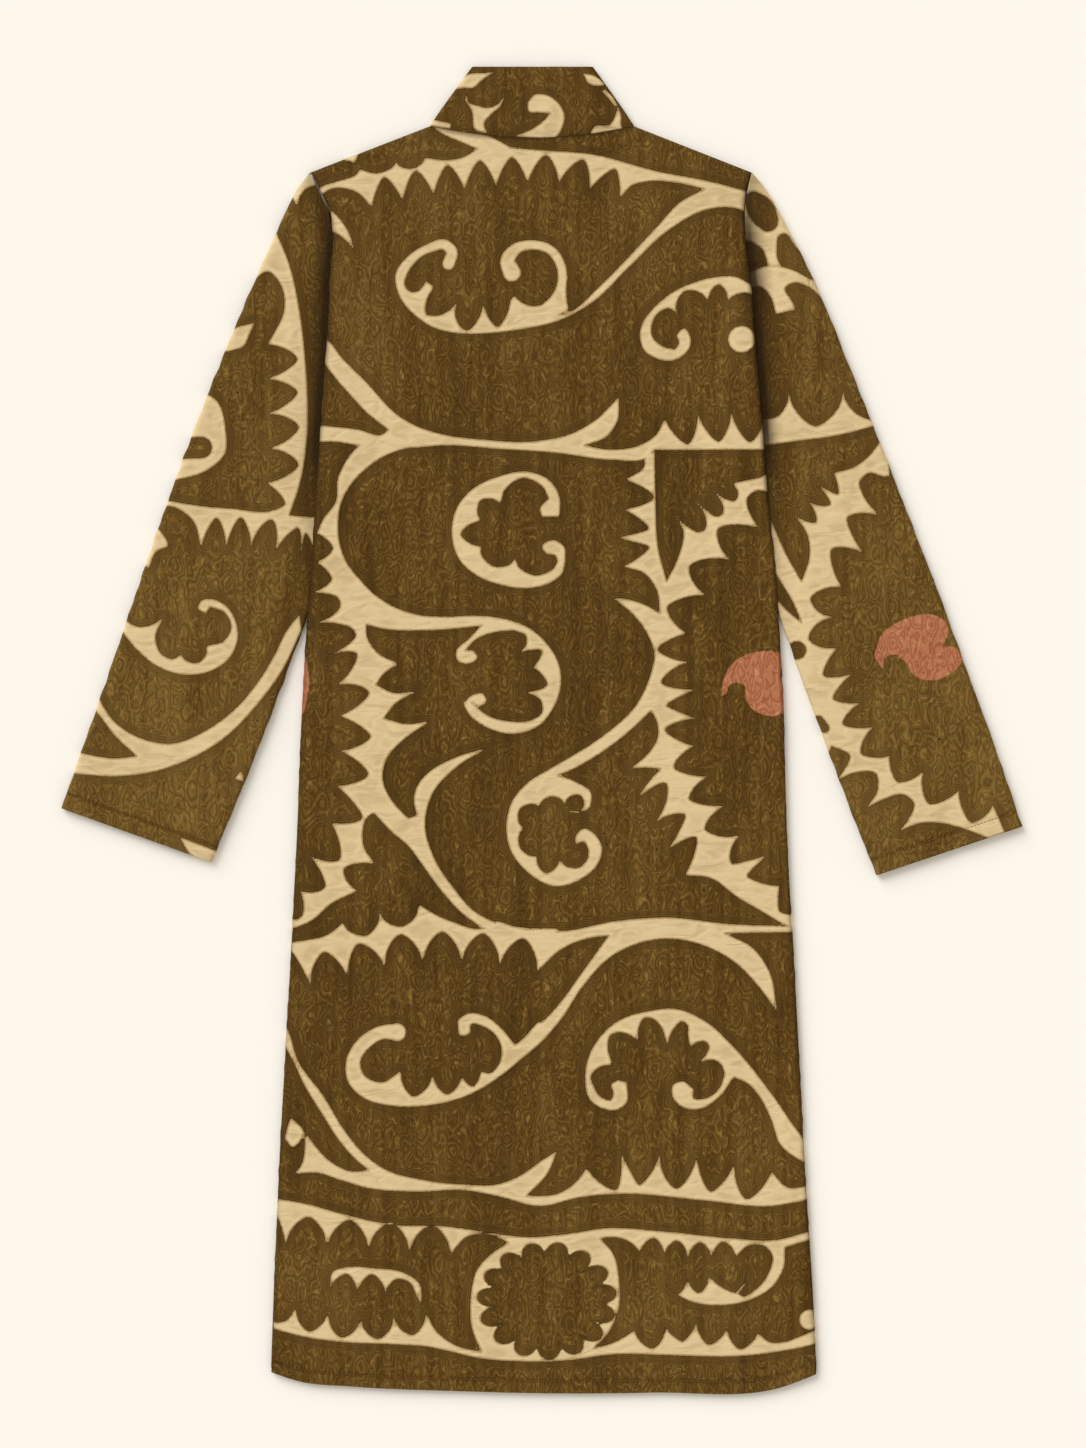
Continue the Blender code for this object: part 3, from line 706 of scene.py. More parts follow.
# The border at the hem: two petal rows, two hooked combs and the rosette
BORDER: Motifs = (
    cream(
        Run(((-242, -420), (-212, -425), (-176, -435), (-133, -444), (-90, -445), (-48, -451),
             (-12, -455), (16, -453), (60, -447), (110, -450), (170, -456), (205, -458), (244, -449))),
        Run(((244, -456), (218, -464))),
        Run(((218, -464), (217, -482), (206, -500), (184, -512), (156, -516), (132, -512), (112, -500))),
        Run(((112, -500), (111, -492))),
        Run(((111, -492), (131, -491), (150, -490)), 2, -15, 0.6),
        Run(((150, -490), (183, -486)), 1, -18, 0.7, -0.35),
        Run(((183, -486), (182, -495), (175, -504))),
        Run(((175, -504), (180, -508), (192, -502), (204, -486), (207, -472), (200, -463), (186, -462),
             (174, -472))),
        Run(((174, -472), (158, -473), (135, -473), (113, -471), (88, -468)), 4, -14, 0.62),
        Run(((88, -468), (80, -460), (66, -455), (52, -456))),
        Run(((52, -456), (64, -470), (69, -492), (68, -522), (60, -540), (46, -555))),
        Run(((46, -555), (64, -550), (83, -539))),
        Run(((83, -539), (99, -538), (123, -532), (160, -536), (194, -541)), 4, -17, 0.7),
        Run(((194, -541), (204, -549), (218, -549), (232, -544), (250, -537))),
        Run(((250, -550), (222, -556), (170, -562), (120, -561), (66, -560), (16, -566), (-30, -566),
             (-59, -563), (-80, -558), (-104, -553), (-134, -551), (-179, -549), (-215, -544),
             (-248, -535))),
        Run(((-248, -524), (-241, -531), (-230, -530), (-221, -519))),
        Run(((-221, -519), (-193, -523), (-167, -528), (-140, -527), (-104, -522)), 4, -19, 0.62),
        Run(((-104, -522), (-96, -538), (-78, -552), (-54, -558))),
        Run(((-54, -558), (-62, -540), (-64, -510), (-58, -484), (-40, -466), (-30, -460))),
        Run(((-30, -460), (-44, -453), (-68, -455), (-82, -470))),
        Run(((-82, -470), (-115, -468), (-149, -466), (-189, -463), (-230, -460)), 4, -25, 0.62),
        Run(((-230, -460), (-236, -440), (-242, -430))),
    ),
    cream(
        Run(((-190, -499), (-188, -486), (-176, -482), (-150, -483), (-124, -487), (-110, -497),
             (-108, -512))),
        Run(((-110, -513), (-116, -499))),
        Run(((-116, -499), (-140, -505)), 1, -10, 0.6),
        Run(((-140, -505), (-166, -505)), 1, -17, 0.66),
        Run(((-166, -505), (-190, -500)), 1, -15, 0.66),
    ),
    Flower((4.5, -512), 48, 15, 15, 8, (1.0, 0.84), 0.5),
    disc(240, -529, 9),
)

CORAL_PALM: Motifs = (
    Patch(
        (
            Run(((161, 31), (163, 46), (172, 61), (186, 69), (206, 71), (222, 66))),
            Run(((222, 66), (214, 48), (226, 40))),
            Run(((226, 40), (224, 22), (208, 13), (188, 20), (182, 30))),
            Run(((182, 30), (182, 40), (174, 43), (167, 40))),
            Run(((167, 40), (166, 34), (161, 30))),
        ),
        Thread.CORAL,
    ),
    Vine(((-216, 72), (-214, 50), (-216, 18)), (2.0, 5.0, 3.0), Thread.CORAL),
)

BODY_CHART: Motifs = (
    *YOKE, *FIRST_SCROLL, *SHOULDER_SCROLL, *UPPER_BAND, *BEAN, *LEFT_ZIGZAG, *SECOND_SCROLL, *CENTRE,
    *THIRD_SCROLL, *LOW_BAND, *FOURTH_SCROLL, *ARCH_SCROLL, *FOOT, *BORDER, *CORAL_PALM,
)

# The sleeves, each with a tall leaf or band at the cap and a toothed stem down to the cuff
LEFT_SLEEVE: Motifs = (
    cream(
        Run(((-228, 480), (-214, 498), (-202, 503))),
        Run(((-202, 503), (-203, 490), (-211, 487), (-217, 480), (-220, 471))),
        Run(((-220, 471), (-224, 478))),
    ),
    cream(
        Run(((-240, 448), (-250, 430), (-262, 402))),
        Run(((-262, 402), (-246, 412), (-234, 399), (-231, 381), (-246, 347))),
        Run(((-246, 347), (-247, 315), (-246, 285), (-245, 254), (-247, 222)), 4, 27, 0.7, -0.1),
        Run(((-247, 222), (-238, 215), (-231, 203), (-240, 198), (-278, 199), (-310, 202), (-344, 208))),
        Run(((-350, 200), (-332, 201), (-314, 189), (-306, 165))),
        Run(((-306, 165), (-280, 165), (-254, 165), (-236, 160), (-218, 155)), 4, 26, 0.75, 0.1),
        Run(((-218, 155), (-212, 177), (-203, 160))), Run(((-194, 160), (-194, 192))),
        Run(((-194, 192), (-212, 192), (-227, 193))),
        Run(((-227, 193), (-217, 224), (-211, 265), (-211, 307), (-213, 337), (-218, 378), (-227, 419),
             (-238, 446))),
    ),
    cream(
        Run(((-292, 344), (-278, 360), (-258, 366))),
        Run(((-258, 366), (-263, 355), (-267, 346), (-282, 340))),
    ),
    cream(
        Run(((-308, 306), (-292, 296), (-284, 270), (-285, 248), (-300, 234), (-328, 225), (-346, 221))),
        Run(((-350, 235), (-312, 306))),
    ),
    Vine(((-334, 253), (-306, 254)), (9.5, 9.5), Thread.OLIVE),
    cream(
        Run(((-350, 186), (-341, 177), (-336, 166), (-346, 161), (-353, 146))),
        Run(((-362, 150), (-354, 186))),
    ),
    cream(
        Run(((-302, 105), (-309, 110), (-305, 117), (-297, 118), (-284, 112), (-275, 98), (-273, 84),
             (-280, 66), (-296, 54), (-319, 50), (-346, 58), (-363, 72), (-384, 98))),
        Run(((-380, 104), (-374, 99), (-362, 93), (-350, 95), (-340, 101))),
        Run(((-340, 101), (-347, 84), (-342, 69), (-332, 64), (-324, 68))),
        Run(((-324, 68), (-301, 76)), 1, -12, 0.5),
        Run(((-301, 76), (-286, 80), (-279, 93), (-285, 106), (-298, 111))),
    ),
    cream(
        Run(((-218, 104), (-229, 90), (-240, 68), (-256, 42), (-278, 17), (-305, -2), (-333, -12),
             (-360, -7), (-382, 6), (-402, 36))),
        Run(((-408, 26), (-397, 13), (-384, -4), (-364, -23))),
        Run(((-364, -23), (-380, -25), (-420, -19))),
        Run(((-428, -38), (-379, -41), (-341, -35), (-313, -24), (-283, -5), (-256, 23), (-234, 53),
             (-216, 90))),
    ),
    cream(Run(((-325, -96), (-306, -103), (-288, -110))),
          Run(((-290, -124), (-306, -119), (-317, -110), (-325, -96)))),
    cream(Run(((-276, -43), (-270, -37), (-268, -46)))),
)

RIGHT_SLEEVE: Motifs = (
    cream(
        Run(((180, 504), (198, 500), (212, 476), (224, 450), (234, 428), (250, 394))),
        Run(((250, 394), (238, 404), (222, 414), (203, 418))),
        Run(((203, 418), (198, 432), (188, 439), (176, 440))), Run(((176, 440), (176, 500))),
    ),
    Vine(((190, 476), (197, 467), (203, 457)), (8.0, 12.0, 9.0), Thread.OLIVE),
    Vine(((217, 440), (221, 427), (244, 406)), (6.0, 11.0, 1.5), Thread.OLIVE),
    cream(
        Run(((182, 410), (203, 417), (220, 415), (236, 408), (252, 394))),
        Run(((252, 388), (238, 399), (226, 402), (218, 397), (224, 386), (228, 378))),
        Run(((228, 378), (210, 374))), Run(((210, 374), (206, 388), (196, 399), (182, 396))),
    ),
    cream(
        Run(((188, 284), (221, 304)), 1, -14, 0.6),
        Run(((221, 304), (271, 304)), 1, -31, 0.62),
        Run(((271, 304), (306, 280)), 1, -10, 0.6),
        Run(((308, 276), (265, 265), (229, 260), (190, 255))),
    ),
    cream(
        Run(((306, 264), (296, 249), (281, 237), (262, 231))),
        Run(((262, 231), (250, 222), (241, 208), (227, 193)), 3, 18, 0.75),
        Run(((227, 193), (238, 176), (240, 155), (233, 134))),
        Run(((233, 134), (221, 155), (206, 188), (196, 208))), Run(((190, 190), (194, 160))),
        Run(((200, 158), (213, 136), (226, 114), (233, 97))), Run(((233, 97), (220, 108), (206, 124))),
        Run(((200, 120), (222, 60), (246, 0), (256, -24))), Run(((260, -14), (276, -22), (266, -44))),
        Run(((266, -44), (280, -38), (300, -39), (301, -54), (292, -69))),
        Run(((292, -69), (306, -62), (326, -58), (334, -66), (330, -78), (321, -90))),
        Run(((321, -90), (340, -83), (358, -83), (378, -88), (402, -97))),
        Run(((402, -97), (416, -92))), Run(((416, -92), (405, -67))),
        Run(((405, -67), (374, -54)), 1, 22, 0.75, -0.2),
        Run(((374, -54), (342, -37)), 1, 23, 0.75),
        Run(((342, -37), (312, -23)), 1, 18, 0.8),
        Run(((312, -23), (297, 3)), 1, 21, 0.75),
        Run(((297, 3), (286, 25)), 1, 23, 0.75, 0.1),
        Run(((286, 25), (279, 48), (265, 74)), 2, 23, 0.75, -0.1),
        Run(((265, 74), (262, 100), (269, 129)), 2, 24, 0.6, -0.1),
        Run(((269, 129), (291, 165), (302, 193)), 2, 26, 0.75, 0.2),
        Run(((302, 193), (288, 212), (285, 223), (293, 231), (306, 228))),
        Run(((312, 228), (312, 262))),
    ),
    disc(229, 72, 8, Thread.OLIVE),
    Vine(((248, 8), (254, 2)), (5.0, 4.0), Thread.OLIVE),
    Patch(
        (
            Run(((298, 67), (305, 86), (326, 100), (350, 104), (362, 98), (364, 86), (359, 75))),
            Run(((359, 75), (372, 74), (377, 64), (368, 52), (351, 45), (335, 49), (326, 62))),
            Run(((326, 62), (318, 68), (308, 65), (306, 54))),
            Run(((306, 54), (298, 67))),
        ),
        Thread.CORAL,
    ),
)

SLEEVE_CHARTS: dict[Side, Motifs] = {Side.LEFT: LEFT_SLEEVE, Side.RIGHT: RIGHT_SLEEVE}

# The collar's cut-off scrolls
COLLAR_CHART: Motifs = (
    cream(
        Run(((-78, 576), (-72, 586), (-44, 591))),
        Run(((-44, 591), (-54, 584), (-62, 577), (-70, 577))),
    ),
    cream(
        Run(((-68, 572), (-66, 564), (-58, 561), (-48, 559), (-40, 562), (-34, 569))),
        Run(((-34, 569), (-38, 560), (-46, 553), (-52, 545), (-49, 536))),
        Run(((-49, 536), (-60, 540), (-63, 556), (-69, 566))),
    ),
    cream(
        Run(((-13, 564), (-6, 571), (3, 571), (14, 564), (20, 553), (18, 541), (10, 529))),
        Run(((10, 529), (-24, 534))), Run(((-24, 534), (-9, 540), (1, 547), (7, 554))),
        Run(((7, 554), (-3, 555), (-12, 556), (-13, 564))),
    ),
    cream(
        Run(((42, 532), (47, 542), (61, 544), (66, 553), (68, 560))),
        Run(((68, 560), (71, 552), (71, 544), (80, 532))),
    ),
    cream(Run(((37, 590), (47, 588), (56, 580), (42, 581), (37, 590)))),
    Vine(((56, 574), (62, 568), (66, 562)), (1.4, 1.9, 1.4)),
    Vine(((-100, 546), (-84, 543)), (3.0, 2.4)),
)


def olive_depth(motifs: Motifs, x: Array, y: Array) -> tuple[Array, Array]:
    """How far each place is inside the olive and inside the coral, in millimetres.

    The motifs are worked in order, each over the last: cream lowers the depth to its own signed
    distance and olive raises it again. Only places near a motif are measured against it.

    Args:
        motifs: The motifs, in working order.
        x: Places across, in metres.
        y: Places up, in metres.

    Returns:
        The depth inside the olive and the depth inside the coral, both negative outside.
    """
    at = np.stack([x.ravel(), y.ravel()], axis=1) / MM
    olive = np.full(len(at), DEEP)
    coral = np.full(len(at), -DEEP)
    for motif in motifs:
        low, high = motif.box()
        near = np.flatnonzero(((at > low - DEEP) & (at < high + DEEP)).all(axis=1))
        for part in np.array_split(near, len(near) // CHUNK + 1):
            if not len(part):
                continue
            signed = np.clip(motif.distance(at[part]), -DEEP, DEEP)
            if motif.thread is Thread.CREAM:
                olive[part] = np.minimum(olive[part], signed)
            elif motif.thread is Thread.OLIVE:
                olive[part] = np.maximum(olive[part], -signed)
            else:
                coral[part] = np.maximum(coral[part], -signed)
    return olive.reshape(x.shape), coral.reshape(x.shape)


@dataclass(frozen=True)
class Waves:
    """Slow seeded waves over the cloth: a sum of sines, each with its own direction, length and phase."""

    seed: int
    shortest: float
    longest: float
    count: int = 14
    tall: float = 1.0

    def at(self, x: Array, y: Array) -> Array:
        """The waves: the sum of sin(2 pi x across / length + phase), over the root of their count.

        Args:
            x: Places across.
            y: Places up, along which tall above 1 stretches the waves.

        Returns:
            The height at those places, about -1 to 1.
        """
        rng = np.random.default_rng(self.seed)
        lengths = np.exp(rng.uniform(np.log(self.shortest), np.log(self.longest), self.count)) * MM
        angles, phases = rng.uniform(0, np.pi, self.count), rng.uniform(0, 2 * np.pi, self.count)
        total = np.zeros(np.broadcast(x, y).shape)
        for length, angle, phase in zip(lengths, angles, phases):
            across = x * np.cos(angle) + y * np.sin(angle) / self.tall
            total = total + np.sin(2 * np.pi * across / length + phase)
        return total / np.sqrt(self.count)


@dataclass
class Cut:
    """The garment's own sizes and curves, the same as its solids have, in metres from the hem up."""

    wall: float = 2.0 * MM
    seam_gap: float = 0.8 * MM
    layer_gap: float = 0.3 * MM
    shift: float = -595.42 * MM
    collar_top: float = 1191.6 * MM
    neck_point: float = 1138.5 * MM
    neck_centre_height: float = 1127.7 * MM
    shoulder_tip: float = 1097.0 * MM
    front_neck: float = 1063.0 * MM
    underarm: float = 848.0 * MM
    neck: tuple[float, float] = (-100.8 * MM, 82.8 * MM)
    body_top: float = 7.4 * MM
    side_seam_level: float = 3.8 * MM
    roll_top: float = 9.4 * MM
    tucked_top: float = 5.0 * MM
    sleeve_top: float = 7.7 * MM
    cap_top: float = 7.0 * MM
    fold_radius: float = 4.2 * MM
    hem_sag: float = 1.8 * MM
    cuff_sag: float = 1.2 * MM
    sleeve_width: float = 150.0 * MM
    collar_head: tuple[float, float] = (-63.0 * MM, 46.0 * MM)
    collar_front: float = 58.0 * MM
    collar_half: float = 90.0 * MM

    @property
    def neck_centre(self) -> float:
        """The x of the middle of the neck."""
        return sum(self.neck) / 2

    def body_edge(self, height: Array, side: Side) -> Array:
        """The x of the back's left or right edge at that height."""
        table = np.array(BODY_EDGES) * MM
        return smooth_table(height, table[:, 0], table[:, 1 if side is Side.LEFT else 2])

    def armhole(self, height: Array, side: Side) -> Array:
        """The x of the armhole seam, hidden under the back below the shoulder."""
        table = np.array(ARMHOLE) * MM
        return smooth_table(height, table[:, 0], table[:, 1 if side is Side.LEFT else 2])

    def top_line(self, x: Array) -> Array:
        """The height of the back's upper edge: sloping shoulders, and a neck curve that rises as x^2.

        Args:
            x: Places across.

        Returns:
            The height at those places.
        """
        tips = [float(self.body_edge(np.array(self.shoulder_tip), side)) for side in Side]
        shoulders = np.interp(x, [tips[0], *self.neck, tips[1]],
                              [self.shoulder_tip, self.neck_point, self.neck_point, self.shoulder_tip])
        share = (x - self.neck_centre) / (self.neck[1] - self.neck_centre)
        neck = self.neck_centre_height + (self.neck_point - self.neck_centre_height) * share**2
        return np.where(np.abs(share) < 1, neck, shoulders)

    def front_top_line(self, x: Array, side: Side) -> Array:
        """The height of a front's upper edge: the shoulder, then a curve of three points to the middle.

        Args:
            x: Places across.
            side: Which front.

        Returns:
            The height at those places.
        """
        neck_x = self.neck[0 if side is Side.LEFT else 1]
        t = np.linspace(0, 1, 60)
        corner = self.neck_centre + 0.66 * (neck_x - self.neck_centre)
        curve_x = (1 - t) ** 2 * self.neck_centre + 2 * t * (1 - t) * corner + t**2 * neck_x
        curve_height = (1 - t**2) * self.front_neck + t**2 * self.neck_point
        order = np.argsort(curve_x)
        neckline = np.interp(x, curve_x[order], curve_height[order])
        outside = np.abs(x - self.neck_centre) > abs(neck_x - self.neck_centre)
        return np.where(outside, self.top_line(x), neckline)

    def troughs(self, x: Array, height: Array, table: tuple) -> Array:
        """How far soft troughs lower a layer: deepest along each line, fading to its half width.

        Args:
            x: Places across.
            height: Places up from the hem.
            table: The troughs' ends, half widths and depths, in millimetres.

        Returns:
            The depth at those places.
        """
        lowered = np.zeros(np.broadcast(x, height).shape)
        for start, end, half_width, depth in table:
            first, last = np.array(start) * MM, np.array(end) * MM
            along = last - first
            t = ((x - first[0]) * along[0] + (height - first[1]) * along[1]) / (along @ along)
            nearest = np.clip(t, 0, 1)
            away = np.hypot(x - first[0] - nearest * along[0], height - first[1] - nearest * along[1])
            lowered += depth * MM * (1 - ramp(away, 0, half_width * MM))
        return lowered

    def back_level(self, x: Array, height: Array) -> Array:
        """The top of the back away from its edges: higher where it rolls over the tucked sleeves.

        Args:
            x: Places across.
            height: Places up from the hem.

        Returns:
            The height above the floor.
        """
        level = np.full(np.broadcast(x, height).shape, self.body_top)
        over_sleeve = ramp(height, *ROLL_COMES_IN) * (1 - ramp(height, *ROLL_FADES))
        for side in Side:
            edge, seam = self.body_edge(height, side), self.armhole(np.maximum(height, self.underarm), side)
            inward, overlap = np.abs(x - edge), np.abs(seam - edge)
            near_edge = 1 - ramp(inward - overlap, -5 * MM, 25 * MM)
            level = level + (self.roll_top - self.body_top) * over_sleeve * near_edge
        hem = self.hem_sag * (1 - ramp(height, *HEM_SAG_FADES))
        return level - hem - self.troughs(x, height, BACK_TROUGHS)

    def front_edge(self, height: Array, side: Side) -> Array:
        """The x of a front's outer edge: the side seam, the line beside the sleeve's fold, the armhole.

        Args:
            height: Places up from the hem.
            side: Which front.

        Returns:
            The edge's x at those heights.
        """
        inner = np.array(SLEEVE_INNER[side]) * MM
        fold = np.interp(-height, -inner[:, 1], inner[:, 0]) - side.value * 2.0 * MM
        armhole = self.armhole(height, side) - side.value * self.seam_gap
        below = self.body_edge(height, side)
        beside = np.where(height < self.underarm, fold, armhole)
        above = np.minimum(side.value * beside, side.value * below) * side.value
        return np.where(height < FRONT_LEAVES_SIDE_SEAM, below, above)

    def sleeve_level(self, x: Array, height: Array, side: Side) -> Array:
        """The top of the sleeve: low under the back, rising beside it, level with it at the cap.

        Args:
            x: Places across.
            height: Places up from the hem.
            side: Which sleeve.

        Returns:
            The height above the floor.
        """
        outward = np.abs(x) - np.abs(self.body_edge(height, side))
        beside = ramp(outward, 2 * MM, 34 * MM)
        level = self.tucked_top + (self.sleeve_top - self.tucked_top) * beside
        cap = (self.cap_top - self.tucked_top) * ramp(height, *SLEEVE_CAP_RISES) * (1 - beside)
        return level + cap - self.troughs(x, height, SLEEVE_TROUGHS[side]) * beside

    def armhole_points(self, shares: Array, side: Side) -> Array:
        """Points of the armhole seam from the shoulder tip, share 0, to the underarm, share 1."""
        height = self.shoulder_tip + (self.underarm - self.shoulder_tip) * shares
        return np.stack([self.armhole(height, side) + side.value * self.seam_gap / 2, height], axis=-1)

    def collar_corner(self, up: float, side: Side) -> Array:
        """Where the collar folds back on itself.

        Args:
            up: The share of the collar's height.
            side: Which fold.

        Returns:
            The fold's x and height.
        """
        foot = self.neck[0 if side is Side.LEFT else 1]
        head = self.collar_head[0 if side is Side.LEFT else 1]
        height = self.neck_point + 2 * self.seam_gap + (self.collar_top - 1.5 * MM - self.neck_point) * up
        return np.array([foot + (head - foot) * up, height])


@dataclass
class Grid:
    """A sheet's outer surface as rows of points, open or closed round each row."""

    points: Array
    closed: bool = False
    flip: bool = False

    def faces(self) -> Array:
        """The four-sided faces between the rows.

        Returns:
            The numbers of each face's points.
        """
        rows, across = self.points.shape[:2]
        row, place = np.meshgrid(np.arange(rows - 1), np.arange(across if self.closed else across - 1),
                                 indexing="ij")
        beside = (place + 1) % across
        near, far = row * across, (row + 1) * across
        quads = np.stack([near + place, near + beside, far + beside, far + place], axis=-1).reshape(-1, 4)
        return quads[:, ::-1] if self.flip else quads

    def normals(self) -> Array:
        """The outward normals: the cross product of the differences across and along.

        Returns:
            The unit normal at each point.
        """
        points = self.points
        if self.closed:
            across = np.roll(points, -1, axis=1) - np.roll(points, 1, axis=1)
        else:
            across = np.gradient(points, axis=1)
        out = np.cross(across, np.gradient(points, axis=0))
        out /= np.maximum(np.linalg.norm(out, axis=-1, keepdims=True), 1e-12)
        return -out if self.flip else out

    def over(self, line: Array) -> Array:
        """Lays a line on the surface's upper side, each place on the plane of its nearest point.

        Args:
            line: Places, as x and y.

        Returns:
            Its points in space.
        """
        points, normals = self.points.reshape(-1, 3), self.normals().reshape(-1, 3)
        facing_up = normals[:, 2] > 0.3
        points, normals = points[facing_up], normals[facing_up]
        nearest = np.array([np.argmin(((points[:, :2] - place) ** 2).sum(axis=1)) for place in line])
        away = line - points[nearest, :2]
        slope = (away * normals[nearest, :2]).sum(axis=1) / normals[nearest, 2]
        return np.column_stack([line, points[nearest, 2] - slope])

    def area(self) -> float:
        """The surface's area: half the cross product of each face's diagonals.

        Returns:
            The area in square metres.
        """
        corners = self.points.reshape(-1, 3)[self.faces()]
        cross = np.cross(corners[:, 2] - corners[:, 0], corners[:, 3] - corners[:, 1])
        return float(np.linalg.norm(cross, axis=1).sum() / 2)

    def thinned(self, along: int, across: int) -> tuple["Grid", Array, Array]:
        """Every few rows and columns of the grid, its last ones included.

        Args:
            along: One row in how many is kept.
            across: One column in how many is kept.

        Returns:
            The thinner grid, and the numbers of its rows and columns.
        """
        rows, columns = self.points.shape[:2]
        keep_rows = np.unique(np.append(np.arange(0, rows, along), rows - 1))
        last = [] if self.closed else [columns - 1]
        keep_columns = np.unique(np.append(np.arange(0, columns, across), last)).astype(int)
        few = Grid(self.points[np.ix_(keep_rows, keep_columns)], self.closed, self.flip)
        return few, keep_rows, keep_columns


def rim_faces(outer: Array, inner: Array, flip: bool) -> list[list[int]]:
    """The faces round a rim: each joins a few outer points to the two inner points beside them.

    Args:
        outer: Numbers of the outer points between each two inner points, as one list for each.
        inner: Numbers of the inner points, one more than there are lists.
        flip: Whether the faces turn the other way.

    Returns:
        The faces, as lists of point numbers.
    """
    faces = []
    for span, (first, last) in zip(outer, zip(inner[:-1], inner[1:])):
        face = [int(last), int(first), *[int(number) for number in span]]
        faces.append(face[::-1] if flip else face)
    return faces


@dataclass(frozen=True)
class Stitches:
    """A row of short stitches along a line on the cloth, in metres.

    Rings are places along a stitch and its girth there. The section's points are shares of its width
    and height.
    """

    pitch: float = 3.3 * MM
    length: float = 2.5 * MM
    width: float = 0.7 * MM
    height: float = 0.35 * MM
    rings: Points = ((-0.5, 0.4), (-0.32, 1.0), (0.32, 1.0), (0.5, 0.4))
    section: Points = ((-0.5, 0.0), (0.0, 1.0), (0.5, 0.0), (0.0, -0.3))

    def build(self, name: str, lines: list[Array], finish: "Embroidery") -> bpy.types.Object:
        """Makes every stitch of the lines as one piece.

        Args:
            name: The object's name.
            lines: Lines of points in space, each on the cloth's surface.
            finish: Dresses the thread.

        Returns:
            The joined stitches.
        """
        points, faces = [], []
        for line in lines:
            lengths = lengths_along(line)
            for middle in np.arange(self.pitch, lengths[-1] - self.pitch, self.pitch):
                at = middle + np.array([-0.5, 0.5]) * self.length
                ends = np.stack([np.interp(at, lengths, line[:, k]) for k in range(3)], axis=1)
                first = len(points)
                points += self.stitch(*ends)
                faces += [[first + number for number in face] for face in self.faces()]
        mesh = bpy.data.meshes.new(name)
        mesh.from_pydata([tuple(point) for point in points], [], faces)
        mesh.shade_smooth()
        obj = bpy.data.objects.new(name, mesh)
        bpy.context.scene.collection.objects.link(obj)
        finish.dress_thread(obj)
        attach(obj, "root")
        log.info("%s: %d faces", name, len(faces))
        return obj

    def stitch(self, start: Array, end: Array) -> list[Array]:
        """One stitch: rings of the section along the line from its start to its end.

        Args:
            start: Where the stitch comes up.
            end: Where it goes down.

        Returns:
            The rings' points, one ring after another.
        """
        along = (end - start) / np.linalg.norm(end - start)
        beside = np.cross([0.0, 0.0, 1.0], along)
        beside /= np.linalg.norm(beside)
        up = np.cross(along, beside)
        middle = (start + end) / 2
        return [middle + along * place * self.length + beside * u * size * self.width
                + up * v * size * self.height for place, size in self.rings for u, v in self.section]

    def faces(self) -> list[list[int]]:
        """The faces between one stitch's rings, and its two ends.

        Returns:
            The numbers of each face's points.
        """
        around, last = len(self.section), len(self.rings) - 1
        sides = [[around * ring + k, around * ring + (k + 1) % around,
                  around * (ring + 1) + (k + 1) % around, around * (ring + 1) + k]
                 for ring in range(last) for k in range(around)]
        return [*sides, list(range(around))[::-1], [around * last + k for k in range(around)]]


def shell(name: str, grid: Grid, wall: float, motifs: Motifs, coarse: tuple[int, int],
          folds: Array | float = 0.0) -> bpy.types.Object:
    """Makes a sheet with two faces and closed rims: a fine outer surface and a coarse inner one.

    Args:
        name: The object's name.
        grid: The outer surface.
        wall: The cloth's thickness.
        motifs: The pattern, stored at each point as its depths inside the olive and the coral.
        coarse: How many rows and columns of the outer surface the inner one skips.
        folds: Painted shade at each outer point, 0 to 1, where it lies in a fold's or a seam's shade; below 0
            it is painted light.

    Returns:
        The new object, linked to the scene.
    """
    rows, columns = grid.points.shape[:2]
    few, keep_rows, keep_columns = grid.thinned(*coarse)
    inner_points = few.points - few.normals() * wall
    count = rows * columns
    inner_rows, inner_columns = few.points.shape[:2]
    inner_faces = few.faces()[:, ::-1] + count
    number = np.arange(count).reshape(rows, columns)
    inner_number = np.arange(inner_rows * inner_columns).reshape(inner_rows, inner_columns) + count
    rims = []
    wrap_columns = np.append(keep_columns, columns) if grid.closed else keep_columns
    for row, inner_row, turn in ((0, 0, False), (rows - 1, inner_rows - 1, True)):
        line = np.append(number[row], number[row, 0]) if grid.closed else number[row]
        inner_line = inner_number[inner_row]
        inner_line = np.append(inner_line, inner_line[0]) if grid.closed else inner_line
        spans = [line[a:b + 1] for a, b in zip(wrap_columns[:-1], wrap_columns[1:])]
        rims += rim_faces(spans, inner_line, turn == grid.flip)
    if not grid.closed:
        for column, inner_column, turn in ((0, 0, True), (columns - 1, inner_columns - 1, False)):
            spans = [number[a:b + 1, column] for a, b in zip(keep_rows[:-1], keep_rows[1:])]
            rims += rim_faces(spans, inner_number[:, inner_column], turn == grid.flip)
    points = np.concatenate([grid.points.reshape(-1, 3), inner_points.reshape(-1, 3)])
    mesh = bpy.data.meshes.new(name)
    mesh.from_pydata(points.tolist(), [], grid.faces().tolist() + inner_faces.tolist() + rims)
    olive, coral = olive_depth(motifs, points[:, 0], points[:, 1])
    # Painted shade and light: the fold attribute darkens the colour in folds and seams, and lightens it where
    # below 0
    dark = np.zeros(len(points))
    dark[:count] = np.broadcast_to(folds, (rows, columns)).ravel()
    for label, depths in (("olive", olive), ("coral", coral), ("fold", dark)):
        mesh.attributes.new(label, "FLOAT", "POINT").data.foreach_set("value", depths.astype(np.float32))
    mesh.shade_smooth()
    mesh.update()
    obj = bpy.data.objects.new(name, mesh)
    bpy.context.scene.collection.objects.link(obj)
    log.info("%s: %d faces, %.3f square metres of cloth", name, len(mesh.polygons), grid.area())
    return obj


def declare(obj: bpy.types.Object, node: str) -> None:
    """Says that a piece rides on the one body and stands for a solid.

    Args:
        obj: The piece.
        node: The solid's node.
    """
    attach(obj, "root")
    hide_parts(node)


